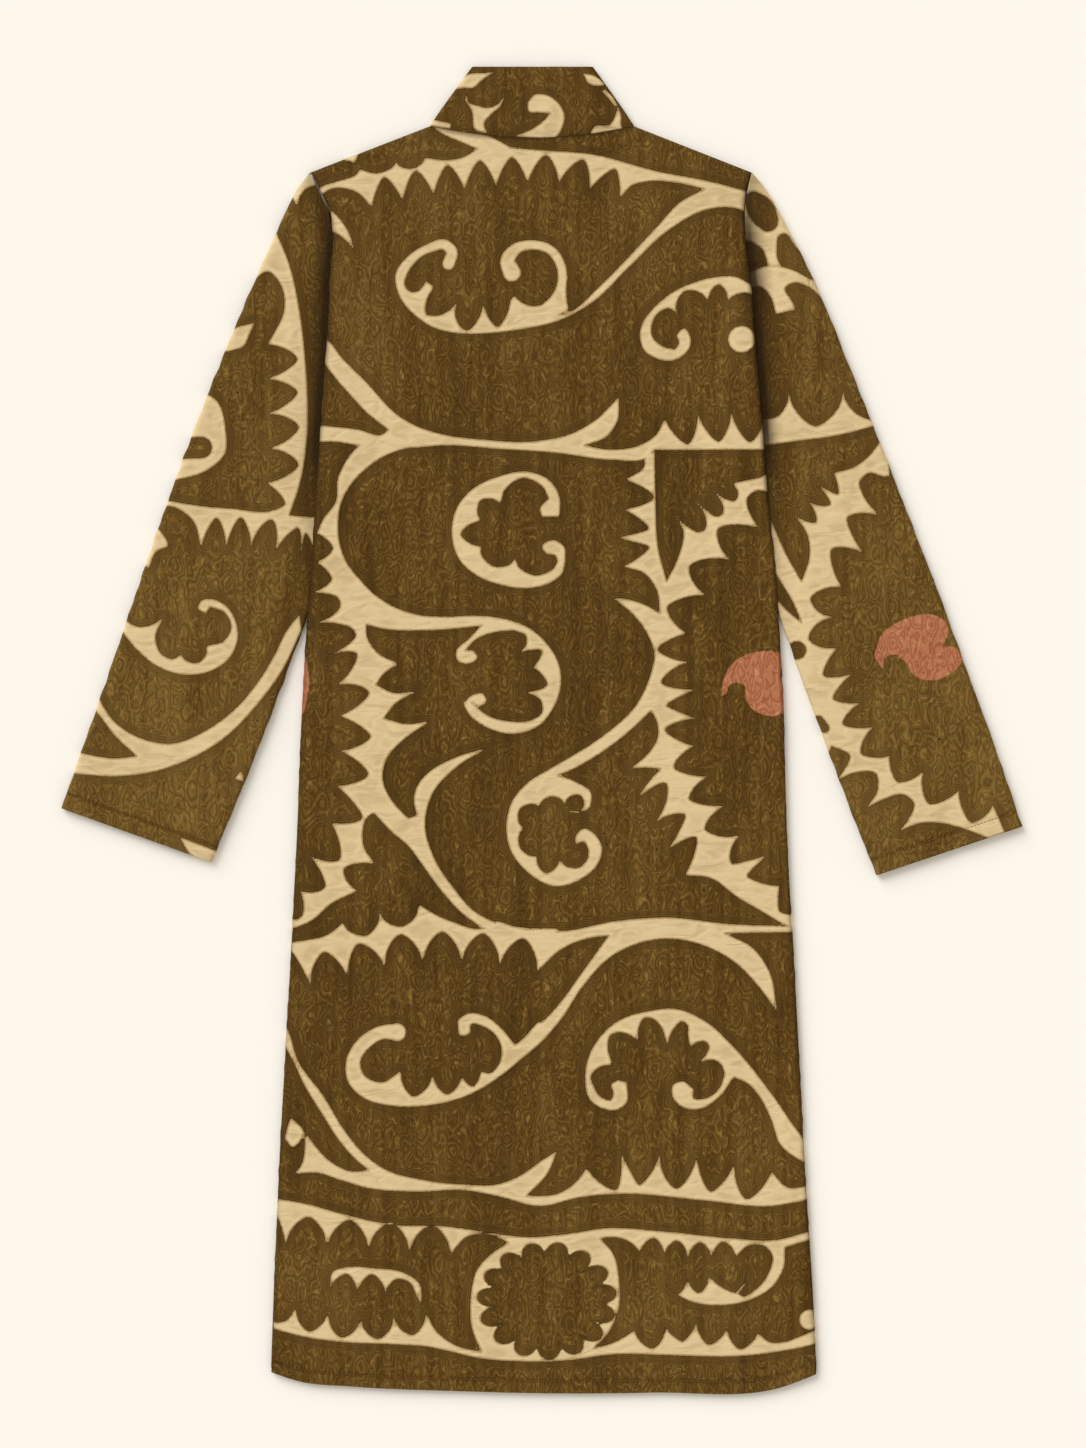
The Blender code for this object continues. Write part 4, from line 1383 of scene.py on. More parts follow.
@dataclass
class Back:
    """The one-piece back, with a fine grid that carries the pattern."""

    cut: Cut
    columns: int = 182
    rows: int = 478
    waves: Waves = Waves(3, 16, 70, tall=1.8)
    wobble: Waves = Waves(8, 9, 46)
    # Painted shade at the side edges, beside the sleeves, under the collar and along the rows of stitches,
    # and painted light high and low on the back
    side_painted_shade: float = 0.35
    armhole_painted_shade: float = 0.25
    collar_painted_shade: float = 0.7
    hem_painted_shade: float = 0.42
    neck_painted_shade: float = 0.45
    painted_light_top: float = 0.10
    painted_light_low: float = 0.09

    def surface(self) -> Grid:
        """The outer surface: z = edge level + (level - edge level) x quarter round of the way in.

        The level has the troughs, the dip along the hem's stitches and the slow waves.

        Returns:
            The grid, row by row from the hem.
        """
        cut = self.cut
        edge = EDGE_STEPS * MM
        along = np.linspace(edge[-1], cut.shoulder_tip - edge[-1], self.rows)
        height = np.concatenate([edge[:-1], along, cut.shoulder_tip - edge[-2::-1]])[:, None]
        left, right = (cut.body_edge(height, side) for side in Side)
        share = np.linspace(0, 1, self.columns)[None]
        flat = left + edge[-1] + share * (right - left - 2 * edge[-1])
        x = np.concatenate([left + edge[:-1], flat, right - edge[-2::-1]], axis=1)
        half_share = (2 * x - left - right) / (right - left)
        bow = np.array(HEM_BOW)
        to_hem = smooth_table(half_share, bow[:, 0], bow[:, 1] * MM)
        upper = np.clip((height - BACK_SLOPES_FROM) / (cut.shoulder_tip - BACK_SLOPES_FROM), 0, 1) ** 2
        up = height + (cut.top_line(x) - cut.shoulder_tip) * upper
        up = up + to_hem * (1 - ramp(height, *HEM_BOW_FADES))
        side_level = cut.side_seam_level + cut.layer_gap / 2
        over_sleeve = cut.tucked_top + cut.layer_gap
        side_level = side_level + (over_sleeve - side_level) * ramp(height, *BACK_LIFTS_ONTO_SLEEVE)
        in_neck = ramp(x - cut.neck[0], -1 * MM, 12 * MM) * ramp(cut.neck[1] - x, -1 * MM, 12 * MM)
        level = cut.back_level(x, up)
        inward = np.minimum(x - left, right - x)
        from_top = cut.shoulder_tip - height
        fade = ramp(inward, *WAVES_COME_IN) * ramp(from_top, *WAVES_COME_IN)
        fade = fade * ramp(height, *HEM_WAVES_COME_IN)
        level = level - STITCH_DIP * MM * (1 - ramp(np.abs(height - HEM_STITCH * MM), 0, DIP_REACH))
        level = level + WAVE_HEIGHT * MM * self.waves.at(x, up) * fade
        top_level = cut.side_seam_level + (level - 0.7 * MM - cut.side_seam_level) * in_neck
        z = side_level + (level - side_level) * roll(inward, cut.fold_radius)
        z = np.minimum(z, top_level + (level - top_level) * roll(from_top, cut.fold_radius))
        wobble = EDGE_WOBBLE * MM * self.wobble.at(up, x * 0 + 1)
        x = x + wobble * (1 - ramp(inward, *WOBBLE_FADES))
        return Grid(np.stack([x, up + cut.shift, z], axis=-1))

    def folds(self, grid: Grid) -> Array:
        """The painted shade on the back at its side edges, its rows of stitches and under the collar's seam,
        and the painted light high and low on it.

        Args:
            grid: The back's outer surface.

        Returns:
            1 for full painted shade, 0 for plain cloth, and below 0 for painted light.
        """
        x, height = grid.points[..., 0], grid.points[..., 1] - self.cut.shift
        inward = np.minimum(np.abs(x - self.cut.body_edge(height, Side.LEFT)),
                            np.abs(x - self.cut.body_edge(height, Side.RIGHT)))
        beside_sleeve = ramp(height, 640 * MM, 700 * MM)
        sides = (1 - ramp(inward, 0, 5 * MM)) * (self.side_painted_shade + self.armhole_painted_shade * beside_sleeve)
        below = self.cut.top_line(x) - height
        in_neck = (x > self.cut.neck[0]) & (x < self.cut.neck[1])
        seam = (1 - ramp(below, 0, 5 * MM)) * in_neck * self.collar_painted_shade
        hem = self.hem_painted_shade * (1 - ramp(np.abs(height - self.cut_hem(grid) - HEM_STITCH * MM), 0, 2.5 * MM))
        line = smooth_line(NECK_STITCH, 12) * MM
        away = np.min([np.linalg.norm(grid.points[..., :2] - place, axis=-1) for place in line], axis=0)
        seam = np.maximum.reduce([seam, hem, self.neck_painted_shade * (1 - ramp(away, 0, 2.6 * MM))])
        # Painted light: the cloth is made lighter over the shoulders and near the hem, away from the edges
        painted_light = self.painted_light_top * ramp(height, 820 * MM, 1010 * MM)
        painted_light = painted_light + self.painted_light_low * (1 - ramp(height, 120 * MM, 380 * MM))
        return np.maximum(sides, seam) - painted_light * ramp(inward, 4 * MM, 12 * MM) * ramp(below, 4 * MM, 12 * MM)

    def cut_hem(self, grid: Grid) -> Array:
        """The hem edge's height below each point, along the same column."""
        return grid.points[0, :, 1] - self.cut.shift

    def seams(self, grid: Grid) -> list[Array]:
        """The rows of stitches: above the hem, and below the collar."""
        hem = grid.points[0, 6:-6, :2] + np.array([0.0, HEM_STITCH * MM])
        return [grid.over(hem[::2]), grid.over(smooth_line(NECK_STITCH, 12) * MM)]

    def build(self, finish: "Embroidery") -> bpy.types.Object:
        """Args:
            finish: The cloth's embroidery.

        Returns:
            The piece.
        """
        grid = self.surface()
        obj = shell("back_cloth", grid, self.cut.wall, BODY_CHART, (12, 9), self.folds(grid))
        finish.dress(obj)
        declare(obj, "back")
        stitches = Stitches().build("back_stitches", self.seams(grid), finish)
        round(grid.area(), 4)
        return obj


@dataclass
class Front:
    """One of the two fronts, hidden underneath, meeting edge to edge at the centre front."""

    cut: Cut
    side: Side
    columns: int = 62
    rows: int = 300
    hem_lift: float = 4 * MM
    waves: Waves = Waves(12, 30, 90)
    wave_share: float = 0.4

    def surface(self) -> Grid:
        """The outer surface, which faces the floor: flat, and curled up at the side and the shoulder.

        Returns:
            The grid, row by row from the hem, each row from the side edge to the centre front.
        """
        cut, sign = self.cut, self.side.value
        neck_x = cut.neck[0 if self.side is Side.LEFT else 1]
        edge = EDGE_STEPS * MM
        along = np.linspace(edge[-1], cut.shoulder_tip - edge[-1], self.rows)
        height = np.concatenate([edge[:-1], along, cut.shoulder_tip - edge[-2::-1]])[:, None]
        outer = cut.front_edge(height, self.side)
        tip = float(cut.front_edge(np.array(cut.shoulder_tip), self.side))
        centre = cut.neck_centre + sign * cut.seam_gap
        share = np.linspace(0, 1, self.columns)[None]
        neck_share = (neck_x - tip + sign * edge[-1]) / (centre - tip + sign * edge[-1])
        share = np.sort(np.append(share, [[neck_share]], axis=1), axis=1)
        centre_x = centre + (1 - height / cut.shoulder_tip) * -cut.neck_centre
        first = outer - sign * edge[-1]
        x = np.concatenate([outer - sign * edge[:-1], first + share * (centre_x - first)], axis=1)
        upper = np.clip((height - FRONT_SLOPES_FROM) / (cut.shoulder_tip - FRONT_SLOPES_FROM), 0, 1) ** 2
        half_share = 2 * x / (cut.body_edge(height, Side.RIGHT) - cut.body_edge(height, Side.LEFT))
        bow = np.array(HEM_BOW)
        hem = smooth_table(half_share, bow[:, 0], bow[:, 1] * MM) + self.hem_lift
        up = height + (cut.front_top_line(x, self.side) - cut.shoulder_tip) * upper
        up = up + hem * (1 - ramp(height, *HEM_BOW_FADES))
        curl = 1 - ramp(height, *FRONT_CURL_FADES)
        seam_level = cut.side_seam_level - cut.layer_gap / 2
        side_z = seam_level * curl * (1 - roll(np.abs(x - outer), cut.fold_radius))
        past_neck = np.abs(x - cut.neck_centre) - abs(neck_x - cut.neck_centre)
        near_top = 1 - roll(cut.shoulder_tip - height, cut.fold_radius)
        shoulder_z = (cut.side_seam_level - 0.3 * MM) * ramp(past_neck, -1 * MM, 8 * MM) * near_top
        inward = np.abs(x - outer)
        fade = ramp(inward, 4 * MM, 20 * MM) * ramp(height, *HEM_WAVES_COME_IN)
        waves = WAVE_HEIGHT * MM * self.wave_share * np.maximum(1 + self.waves.at(x, up), 0) * fade
        return Grid(np.stack([x, up + cut.shift, np.maximum(side_z, shoulder_z) + waves], axis=-1),
                    flip=self.side is Side.LEFT)

    def build(self, finish: "Embroidery") -> bpy.types.Object:
        """Args:
            finish: The cloth's embroidery.

        Returns:
            The piece.
        """
        grid = self.surface()
        obj = shell(f"front_{self.side.word}_cloth", grid, self.cut.wall, BODY_CHART, (12, 8))
        finish.dress(obj)
        declare(obj, f"front_{self.side.word}")
        round(grid.area(), 4)
        return obj


@dataclass
class Sleeve:
    """A straight sleeve laid flat: one cloth all round, folded at both of its long edges."""

    cut: Cut
    side: Side
    rows: int = 370
    over: int = 86
    under: int = 24
    wave_seed: int = 21
    wobble_seed: int = 31
    # Painted shade beside the back's rolled edge and along the cuff's stitches, less of it at the cap, and
    # painted light away from the back
    core_painted_shade: float = 0.3
    low_painted_shade: float = 0.12
    high_painted_shade: float = 0.83
    cap_lit: float = 0.6
    cuff_painted_shade: float = 0.42
    painted_light: float = 0.19
    painted_light_cuff: float = 0.13

    def surface(self) -> Grid:
        """The outer surface: z = top / 2 x (1 +- quarter round of the way in), over and underneath.

        Returns:
            The grid as closed loops from the armhole to the cuff, each over the top and then back.
        """
        cut, side = self.cut, self.side
        steps = EDGE_STEPS[:-1] * MM / cut.sleeve_width
        reach = EDGE_STEPS[-1] * MM / cut.sleeve_width
        over = np.concatenate([steps, np.linspace(reach, 1 - reach, self.over), 1 - steps[::-1]])
        under = np.concatenate([steps[1:], np.linspace(reach, 1 - reach, self.under), 1 - steps[:0:-1]])
        shares = np.concatenate([over, under[::-1]])
        on_top = np.arange(len(shares)) < len(over)
        down = np.linspace(0, 1, self.rows)[:, None]
        outer, inner = self.edge_line(SLEEVE_OUTER[side], down), self.edge_line(SLEEVE_INNER[side], down)
        start, chord = cut.armhole_points(shares, side), cut.armhole_points(np.array([0.0, 1.0]), side)
        outer[0, 0], inner[0, 0] = chord
        place = outer + shares[None, :, None] * (inner - outer)
        bow = start - (chord[0] + shares[:, None] * (chord[1] - chord[0]))
        place = place + bow[None] * (1 - down[..., None]) ** 6
        inward = np.minimum(shares, 1 - shares)[None] * cut.sleeve_width
        top = cut.sleeve_level(place[..., 0], place[..., 1], side) - cut.cuff_sag * ramp(down, 0.95, 1)
        visible = ramp(np.abs(place[..., 0]) - np.abs(cut.body_edge(place[..., 1], side)), 6 * MM, 26 * MM)
        fade = ramp(inward, *WAVES_COME_IN) * on_top * visible * ramp(1 - down, 0, 0.02)
        waves = Waves(self.wave_seed + side.value, 16, 70, tall=1.6).at(place[..., 0], place[..., 1])
        from_cuff = np.linalg.norm(place - place[-1:], axis=-1)
        dip = STITCH_DIP * MM * (1 - ramp(np.abs(from_cuff - CUFF_STITCH * MM), 0, DIP_REACH)) * on_top
        top = top + WAVE_HEIGHT * MM * waves * fade - dip
        rounding = roll(inward, 0.5 * top)
        z = 0.5 * top * (1 + np.where(on_top, rounding, -rounding))
        wobble = Waves(self.wobble_seed + side.value, 9, 46).at(place[..., 1], place[..., 1] * 0)
        place[..., 0] += EDGE_WOBBLE * MM * wobble * (1 - ramp(inward, *WOBBLE_FADES)) * ramp(down, 0, 0.05)
        return Grid(np.concatenate([place + np.array([0, cut.shift]), z[..., None]], axis=-1), closed=True,
                    flip=side is Side.LEFT)

    def folds(self, grid: Grid) -> Array:
        """The painted shade on the sleeve where it goes in under the back's rolled edge, and at the cuff's
        seam, and the painted light away from them.

        Args:
            grid: The sleeve's outer surface.

        Returns:
            1 for full painted shade, 0 for plain cloth, and below 0 for painted light.
        """
        x, height = grid.points[..., 0], grid.points[..., 1] - self.cut.shift
        outward = np.abs(x) - np.abs(self.cut.body_edge(height, self.side))
        # Painted shade beside the back's rolled edge, deepest up by the armhole
        reach = 21 * MM + 5 * MM * ramp(height, 860 * MM, 960 * MM)
        core = self.core_painted_shade * (1 - ramp(outward, 0, 7 * MM))
        deep = np.minimum((1 - ramp(outward, 1 * MM, reach)) ** 1.5 + core, 1.0)
        deep = deep * (self.low_painted_shade + self.high_painted_shade * ramp(height, 750 * MM, 870 * MM))
        deep = deep * ramp(height, 640 * MM, 720 * MM)
        deep = deep * (1 - self.cap_lit * ramp(height, 1030 * MM, 1090 * MM))
        # Painted light: the sleeve is made lighter away from the back's edge, more so towards the cuff
        painted_light = self.painted_light + self.painted_light_cuff * (1 - ramp(height, 520 * MM, 760 * MM))
        from_cuff = np.linalg.norm(grid.points[..., :2] - grid.points[-1:, :, :2], axis=-1)
        cuff = self.cuff_painted_shade * (1 - ramp(np.abs(from_cuff - CUFF_STITCH * MM), 0, 2.5 * MM))
        return np.maximum(deep, cuff) - painted_light * ramp(outward, 14 * MM, 40 * MM)

    def seams(self, grid: Grid) -> list[Array]:
        """The row of stitches above the cuff's edge, on the upper side only.

        Args:
            grid: The sleeve's outer surface.

        Returns:
            The row's line, in a list.
        """
        edge, before = grid.points[-1, 6:self.over + 6, :2], grid.points[-30, 6:self.over + 6, :2]
        inward = (before - edge) / np.linalg.norm(before - edge, axis=-1, keepdims=True)
        return [grid.over(edge + inward * CUFF_STITCH * MM)]

    def edge_line(self, points: Points, down: Array) -> Array:
        """Points of one long edge.

        Args:
            points: The edge's places, in millimetres.
            down: Shares of its length, from the armhole to the cuff.

        Returns:
            The points at those shares, in metres.
        """
        line = np.array(points, float) * MM
        lengths = lengths_along(line)
        return np.stack([smooth_table(down * lengths[-1], lengths, line[:, k]) for k in (0, 1)], axis=-1)

    def build(self, finish: "Embroidery") -> bpy.types.Object:
        """Args:
            finish: The cloth's embroidery.

        Returns:
            The piece.
        """
        grid = self.surface()
        chart = SLEEVE_CHARTS[self.side]
        obj = shell(f"sleeve_{self.side.word}_cloth", grid, self.cut.wall, chart, (12, 6), self.folds(grid))
        finish.dress(obj)
        declare(obj, f"sleeve_{self.side.word}")
        stitches = Stitches().build(f"cuff_{self.side.word}_stitches", self.seams(grid), finish)
        round(grid.area(), 4)
        return obj


@dataclass
class Collar:
    """The stand collar, folded flat on itself round both sides of the neck."""

    cut: Cut
    rows: int = 44
    back_columns: int = 120
    front_columns: int = 60
    foot_overlap: float = 2.0 * MM
    top_sag: float = 1.2 * MM
    foot_sag: float = 1.3 * MM
    waves: Waves = Waves(41, 14, 50)

    def surface(self) -> Grid:
        """The outer surface: the left front half underneath, the back on top, the right half underneath.

        Returns:
            The grid, row by row from the neck seam to the upper edge.
        """
        cut = self.cut
        folds = EDGE_STEPS[:-1] * MM
        rows = []
        for up in np.linspace(0, 1, self.rows):
            left, right = cut.collar_corner(up, Side.LEFT), cut.collar_corner(up, Side.RIGHT)
            front_t = np.linspace(0, 0.9, self.front_columns)
            front_t = np.concatenate([front_t, 1 - folds[:0:-1] / cut.collar_half])
            width = right[0] - left[0]
            flat_t = np.linspace(EDGE_STEPS[-1] * MM, width - EDGE_STEPS[-1] * MM, self.back_columns)
            back_t = np.concatenate([folds, flat_t, width - folds[::-1]])
            dip = (cut.neck_point - cut.neck_centre_height) * (1 - up)
            back_y = left[1] - dip * (1 - (2 * back_t / width - 1) ** 2) - self.foot_overlap * (1 - up) ** 8
            back_x = left[0] + back_t
            foot = self.foot_sag * (1 - ramp(np.array(up), 0, 0.09))
            top = cut.cap_top - self.top_sag * ramp(np.array(up), 0.75, 1) - foot
            halves = []
            for side in Side:
                xy = self.front_line(up, front_t, side)
                z = cut.side_seam_level * (1 - roll((1 - front_t) * cut.collar_half, cut.side_seam_level))
                halves.append(np.column_stack([xy, z]))
            inward = np.minimum(back_t, width - back_t)
            waves = WAVE_HEIGHT * MM * self.waves.at(back_x, back_y) * ramp(inward, 1 * MM, 12 * MM)
            back_z = cut.side_seam_level + (top + waves - cut.side_seam_level) * roll(inward, cut.fold_radius)
            back = np.column_stack([back_x, back_y, back_z])
            rows.append(np.concatenate([halves[0], back, halves[1][::-1]]))
        return Grid(np.array(rows) + np.array([0, cut.shift, 0]))

    def front_line(self, up: float, t: Array, side: Side) -> Array:
        """A line of the collar's front half: a curve of three points from the centre front to the fold.

        Args:
            up: The share of the collar's height.
            t: Shares of the way along the line.
            side: Which half.

        Returns:
            The points at those shares.
        """
        cut = self.cut
        corner = cut.collar_corner(up, side)
        low = cut.front_neck + 1 * MM
        centre = np.array([cut.neck_centre + side.value * cut.seam_gap, low + cut.collar_front * up])
        half = corner[0] - cut.neck_centre
        low_control = np.array([cut.neck_centre + 0.66 * half, low])
        high_control = np.array([cut.neck_centre + 0.5 * half, centre[1] + 12 * MM])
        control = low_control + (high_control - low_control) * up
        t = t[:, None]
        return (1 - t) ** 2 * centre + 2 * t * (1 - t) * control + t**2 * corner

    def build(self, finish: "Embroidery") -> bpy.types.Object:
        """Args:
            finish: The cloth's embroidery.

        Returns:
            The piece.
        """
        grid = self.surface()
        obj = shell("collar_cloth", grid, self.cut.wall, COLLAR_CHART, (8, 8))
        finish.dress(obj)
        declare(obj, "collar")
        round(grid.area(), 4)
        return obj


class Value:
    """A number from a material's nodes. Sums written with it add Math nodes."""

    def __init__(self, nodes: "Nodes", socket: bpy.types.NodeSocket) -> None:
        """Keeps the value's socket.

        Args:
            nodes: The node tree that it belongs to.
            socket: The output socket.
        """
        self.nodes, self.socket = nodes, socket

    def math(self, operation: str, *others: "Value | float", clamp: bool = False) -> "Value":
        """A Math node of this value and the others, in that order.

        Args:
            operation: What it works out.
            others: The values after this one.
            clamp: Whether the result is kept from 0 to 1.

        Returns:
            The result.
        """
        node = self.nodes.make("ShaderNodeMath", {"operation": operation, "use_clamp": clamp},
                               {i: value for i, value in enumerate((self, *others))})
        return Value(self.nodes, node.outputs[0])

    def __add__(self, other: "Value | float") -> "Value":
        """self + other."""
        return self.math("ADD", other)

    __radd__ = __add__

    def __mul__(self, other: "Value | float") -> "Value":
        """self x other."""
        return self.math("MULTIPLY", other)

    __rmul__ = __mul__

    def __sub__(self, other: "Value | float") -> "Value":
        """self - other."""
        return self.math("SUBTRACT", other)

    def __rsub__(self, other: float) -> "Value":
        """other - self."""
        return (self * -1.0) + other

    def __truediv__(self, other: float) -> "Value":
        """self / other, for a plain number."""
        return self * (1.0 / other)

    def near(self, middle: float, width: float) -> "Value":
        """1 at the middle, falling evenly to 0 a width away on both sides."""
        return (1.0 - (self - middle).math("ABSOLUTE") / width).math("MAXIMUM", 0.0)

    def between(self, low: float, high: float) -> "Value":
        """A smooth step of this value.

        Args:
            low: Where it is 0.
            high: Where it is 1, above low or below it.

        Returns:
            The step, level past both.
        """
        node = self.nodes.make("ShaderNodeMapRange", {"interpolation_type": "SMOOTHSTEP"},
                               {0: self, 1: min(low, high), 2: max(low, high)})
        value = Value(self.nodes, node.outputs[0])
        return value if low < high else 1.0 - value


class Nodes:
    """One material's node tree, with one method that makes any node."""

    def __init__(self, name: str) -> None:
        """Makes a material with only its shader and output."""
        self.material = bpy.data.materials.new(name)
        self.material.use_nodes = True
        self.tree = self.material.node_tree
        self.shader = self.tree.nodes["Principled BSDF"]

    def make(self, kind: str, settings: dict | None = None, inputs: dict | None = None) -> bpy.types.Node:
        """Makes a node.

        Args:
            kind: The node's type.
            settings: Its own settings, set first.
            inputs: Values or links of its sockets, by name or number.

        Returns:
            The node.
        """
        node = self.tree.nodes.new(kind)
        for key, value in (settings or {}).items():
            setattr(node, key, value)
        for key, value in (inputs or {}).items():
            self.feed(node.inputs[key], value)
        return node

    def feed(self, socket: bpy.types.NodeSocket, value: object) -> None:
        """Links a socket to another one, or sets its value.

        Args:
            socket: The input socket.
            value: An output, or a plain value.
        """
        source = value.socket if isinstance(value, Value) else value
        if isinstance(source, bpy.types.NodeSocket):
            self.tree.links.new(source, socket)
        else:
            socket.default_value = value

    def attribute(self, name: str) -> Value:
        """A number stored at the mesh's points."""
        return Value(self, self.make("ShaderNodeAttribute", {"attribute_name": name}).outputs["Fac"])

    def place(self, scale: Scale) -> bpy.types.NodeSocket:
        """Object coordinates, scaled along each axis."""
        here = self.make("ShaderNodeTexCoord").outputs["Object"]
        return self.make("ShaderNodeMapping", None, {"Vector": here, "Scale": scale}).outputs[0]

    def noise(self, scale: Scale, detail: float = 1.0, rough: float = 0.5, distortion: float = 0.0) -> Value:
        """Noise from 0 to 1.

        Args:
            scale: How many features there are to a metre along each axis.
            detail: How many finer layers are added.
            rough: How strong those are.
            distortion: How far the noise is bent.

        Returns:
            The noise.
        """
        node = self.make("ShaderNodeTexNoise", None, {"Vector": self.place(scale), "Scale": 1.0,
                                                      "Detail": detail, "Roughness": rough,
                                                      "Distortion": distortion})
        return Value(self, node.outputs["Fac"])

    def cells(self, scale: Scale) -> Value:
        """Scattered cells.

        Args:
            scale: How many cells there are to a metre along each axis.

        Returns:
            The distance to the nearest cell's middle, in cells.
        """
        inputs = {"Vector": self.place(scale), "Scale": 1.0}
        node = self.make("ShaderNodeTexVoronoi", {"feature": "F1"}, inputs)
        return Value(self, node.outputs["Distance"])

    def mix(self, share: Value, first: object, second: object) -> bpy.types.NodeSocket:
        """A colour between two, by a share from 0 to 1."""
        node = self.make("ShaderNodeMix", {"data_type": "RGBA"}, {0: share, 6: first, 7: second})
        return node.outputs[2]


@dataclass(frozen=True)
class Embroidery:
    """Olive thread couched in winding lines on cream cotton, with a little coral.

    Colours are linear. Lengths are in millimetres.
    """

    name: str = "olive_embroidery"
    thread_name: str = "olive_sewing_thread"
    olive: Colour = (0.106, 0.053, 0.0078, 1.0)
    olive_lit: Colour = (0.245, 0.145, 0.033, 1.0)
    # The olive's painted shade in the grooves and along the raised edge, and also its knots and darker tone
    olive_deep: Colour = (0.040, 0.0175, 0.0020, 1.0)
    cream: Colour = (0.675, 0.520, 0.290, 1.0)
    # Painted shade in the cotton's puckers, and its darker tone
    cream_deep: Colour = (0.510, 0.368, 0.182, 1.0)
    # Painted shade in folds, at seams and rows of stitches, and under the collar
    painted_fold_shade: Colour = (0.022, 0.010, 0.0015, 1.0)
    # Painted shade on the cotton at the foot of the raised olive
    painted_edge_shade: Colour = (0.330, 0.200, 0.062, 1.0)
    coral: Colour = (0.440, 0.162, 0.076, 1.0)
    coral_lit: Colour = (0.640, 0.320, 0.185, 1.0)
    # Painted shade in the coral's grooves
    coral_deep: Colour = (0.290, 0.086, 0.038, 1.0)
    raised: float = 0.85
    cord: float = 0.42
    line_pitch: float = 2.8
    roughness: float = 0.86

    def material(self) -> bpy.types.Material:
        """The one cloth of the whole garment.

        Its colours and relief follow how deep each place lies inside the olive and the coral.

        Returns:
            The material.
        """
        nodes = Nodes(self.name)
        rough_edge = nodes.noise((420.0, 420.0, 420.0)) - 0.5
        depth = nodes.attribute("olive") + rough_edge * 1.1
        coral_depth = nodes.attribute("coral") + rough_edge * 1.0
        is_olive = depth.between(-0.35, 0.45)
        is_coral = coral_depth.between(-0.4, 0.4)
        threads = is_olive.math("MAXIMUM", is_coral)
        lit_line, deep_line = self.couching(nodes, depth)
        fine = nodes.noise((900.0, 900.0, 900.0), 2.0, 0.6)
        slow = nodes.noise((14.0, 5.0, 12.0), 2.0, 0.55)
        wrinkle = nodes.noise((42.0, 92.0, 60.0), 1.0, 0.5, 1.2)

        olive = self.olive_threads(nodes, depth, lit_line, deep_line, fine, slow)
        # Painted shade in the grooves and painted highlight on the ridges of the coral's lines
        coral = nodes.mix(deep_line * 0.7 + 0.08, self.coral, self.coral_deep)
        coral = nodes.mix(lit_line * 0.6, coral, self.coral_lit)
        colour = nodes.mix(is_olive, self.cotton(nodes, depth, fine, slow, wrinkle), olive)
        colour = nodes.mix(is_coral, colour, coral)
        # Painted shade in folds, at seams and rows of stitches, and under the collar
        colour = nodes.mix(nodes.attribute("fold").math("MAXIMUM", 0.0), colour, self.painted_fold_shade)

        relief = (threads * self.raised + threads * (lit_line - deep_line * 0.7) * self.cord
                  + (1.0 - threads) * wrinkle * 1.5 + fine * 0.10)
        bump = nodes.make("ShaderNodeBump", None, {"Height": relief, "Distance": MM, "Strength": 0.9})
        nodes.feed(nodes.shader.inputs["Base Color"], colour)
        nodes.feed(nodes.shader.inputs["Normal"], bump.outputs[0])
        nodes.feed(nodes.shader.inputs["Roughness"], threads * -0.06 + (self.roughness + 0.04))
        nodes.shader.inputs["Specular IOR Level"].default_value = 0.10
        return nodes.material

    def couching(self, nodes: Nodes, depth: Value) -> tuple[Value, Value]:
        """The winding lines of thread: along the edge of a motif, and in whorls well inside it.

        Args:
            nodes: The material's nodes.
            depth: How deep the place lies inside the olive.

        Returns:
            1 on the lit ridge of a line, and 1 in the groove between lines.
        """
        bends = nodes.noise((95.0, 44.0, 70.0), 2.0, 0.5, 0.8)
        inside = depth.between(2.5, 9.0)
        rings = nodes.cells((76.0, 40.0, 60.0)) * 3.8 + bends * 5.2
        winding = rings * inside + depth / self.line_pitch * (1.0 - inside)
        wave = (winding.math("FRACT") - 0.5).math("ABSOLUTE") * 2.0
        broken = nodes.noise((150.0, 90.0, 120.0)).between(0.40, 0.62)
        return wave.between(0.30, 0.0) * (0.35 + 0.65 * broken), wave.between(0.58, 0.96)

    def olive_threads(self, nodes: Nodes, depth: Value, lit_line: Value, deep_line: Value,
                      fine: Value, slow: Value) -> bpy.types.NodeSocket:
        """The olive: painted highlights on its ridges, painted shade in its grooves and along its raised
        edge, streaks of tone, painted light away from the folds, and a few knots.

        Args:
            nodes: The material's nodes.
            depth: How deep the place lies inside the olive.
            lit_line: 1 on the lit ridge of a line.
            deep_line: 1 in the groove between lines.
            fine: Fine noise.
            slow: Noise over the whole garment.

        Returns:
            The colour.
        """
        streak = nodes.noise((150.0, 11.0, 90.0), 2.0, 0.6)
        # Painted light where the fold attribute is below 0, added to tone that differs at random in patches
        # and streaks
        painted_light = (0.0 - nodes.attribute("fold")).math("MAXIMUM", 0.0)
        tone = (slow - 0.5) * 0.9 + (streak - 0.5) * 1.1 + painted_light * 1.3
        spot_size = nodes.noise((24.0, 24.0, 24.0), 0.0).between(0.50, 0.72) * 0.11
        spot = (spot_size - nodes.cells((95.0, 95.0, 95.0))).between(0.0, 0.03)
        # Painted highlight on the ridges of the lines, lighter or darker by the tone
        colour = nodes.mix((lit_line * 0.95 + tone).math("MAXIMUM", 0.0), self.olive, self.olive_lit)
        # Painted shade in the grooves and along the raised edge, with the knots and the darker tone
        dark = deep_line * 0.46 + depth.near(0.8, 1.6) * 0.55 + spot * 0.8
        dark = dark + (0.0 - tone).math("MAXIMUM", 0.0) * 1.1 + (fine - 0.5) * 0.9
        return nodes.mix(dark.math("MAXIMUM", 0.0), colour, self.olive_deep)

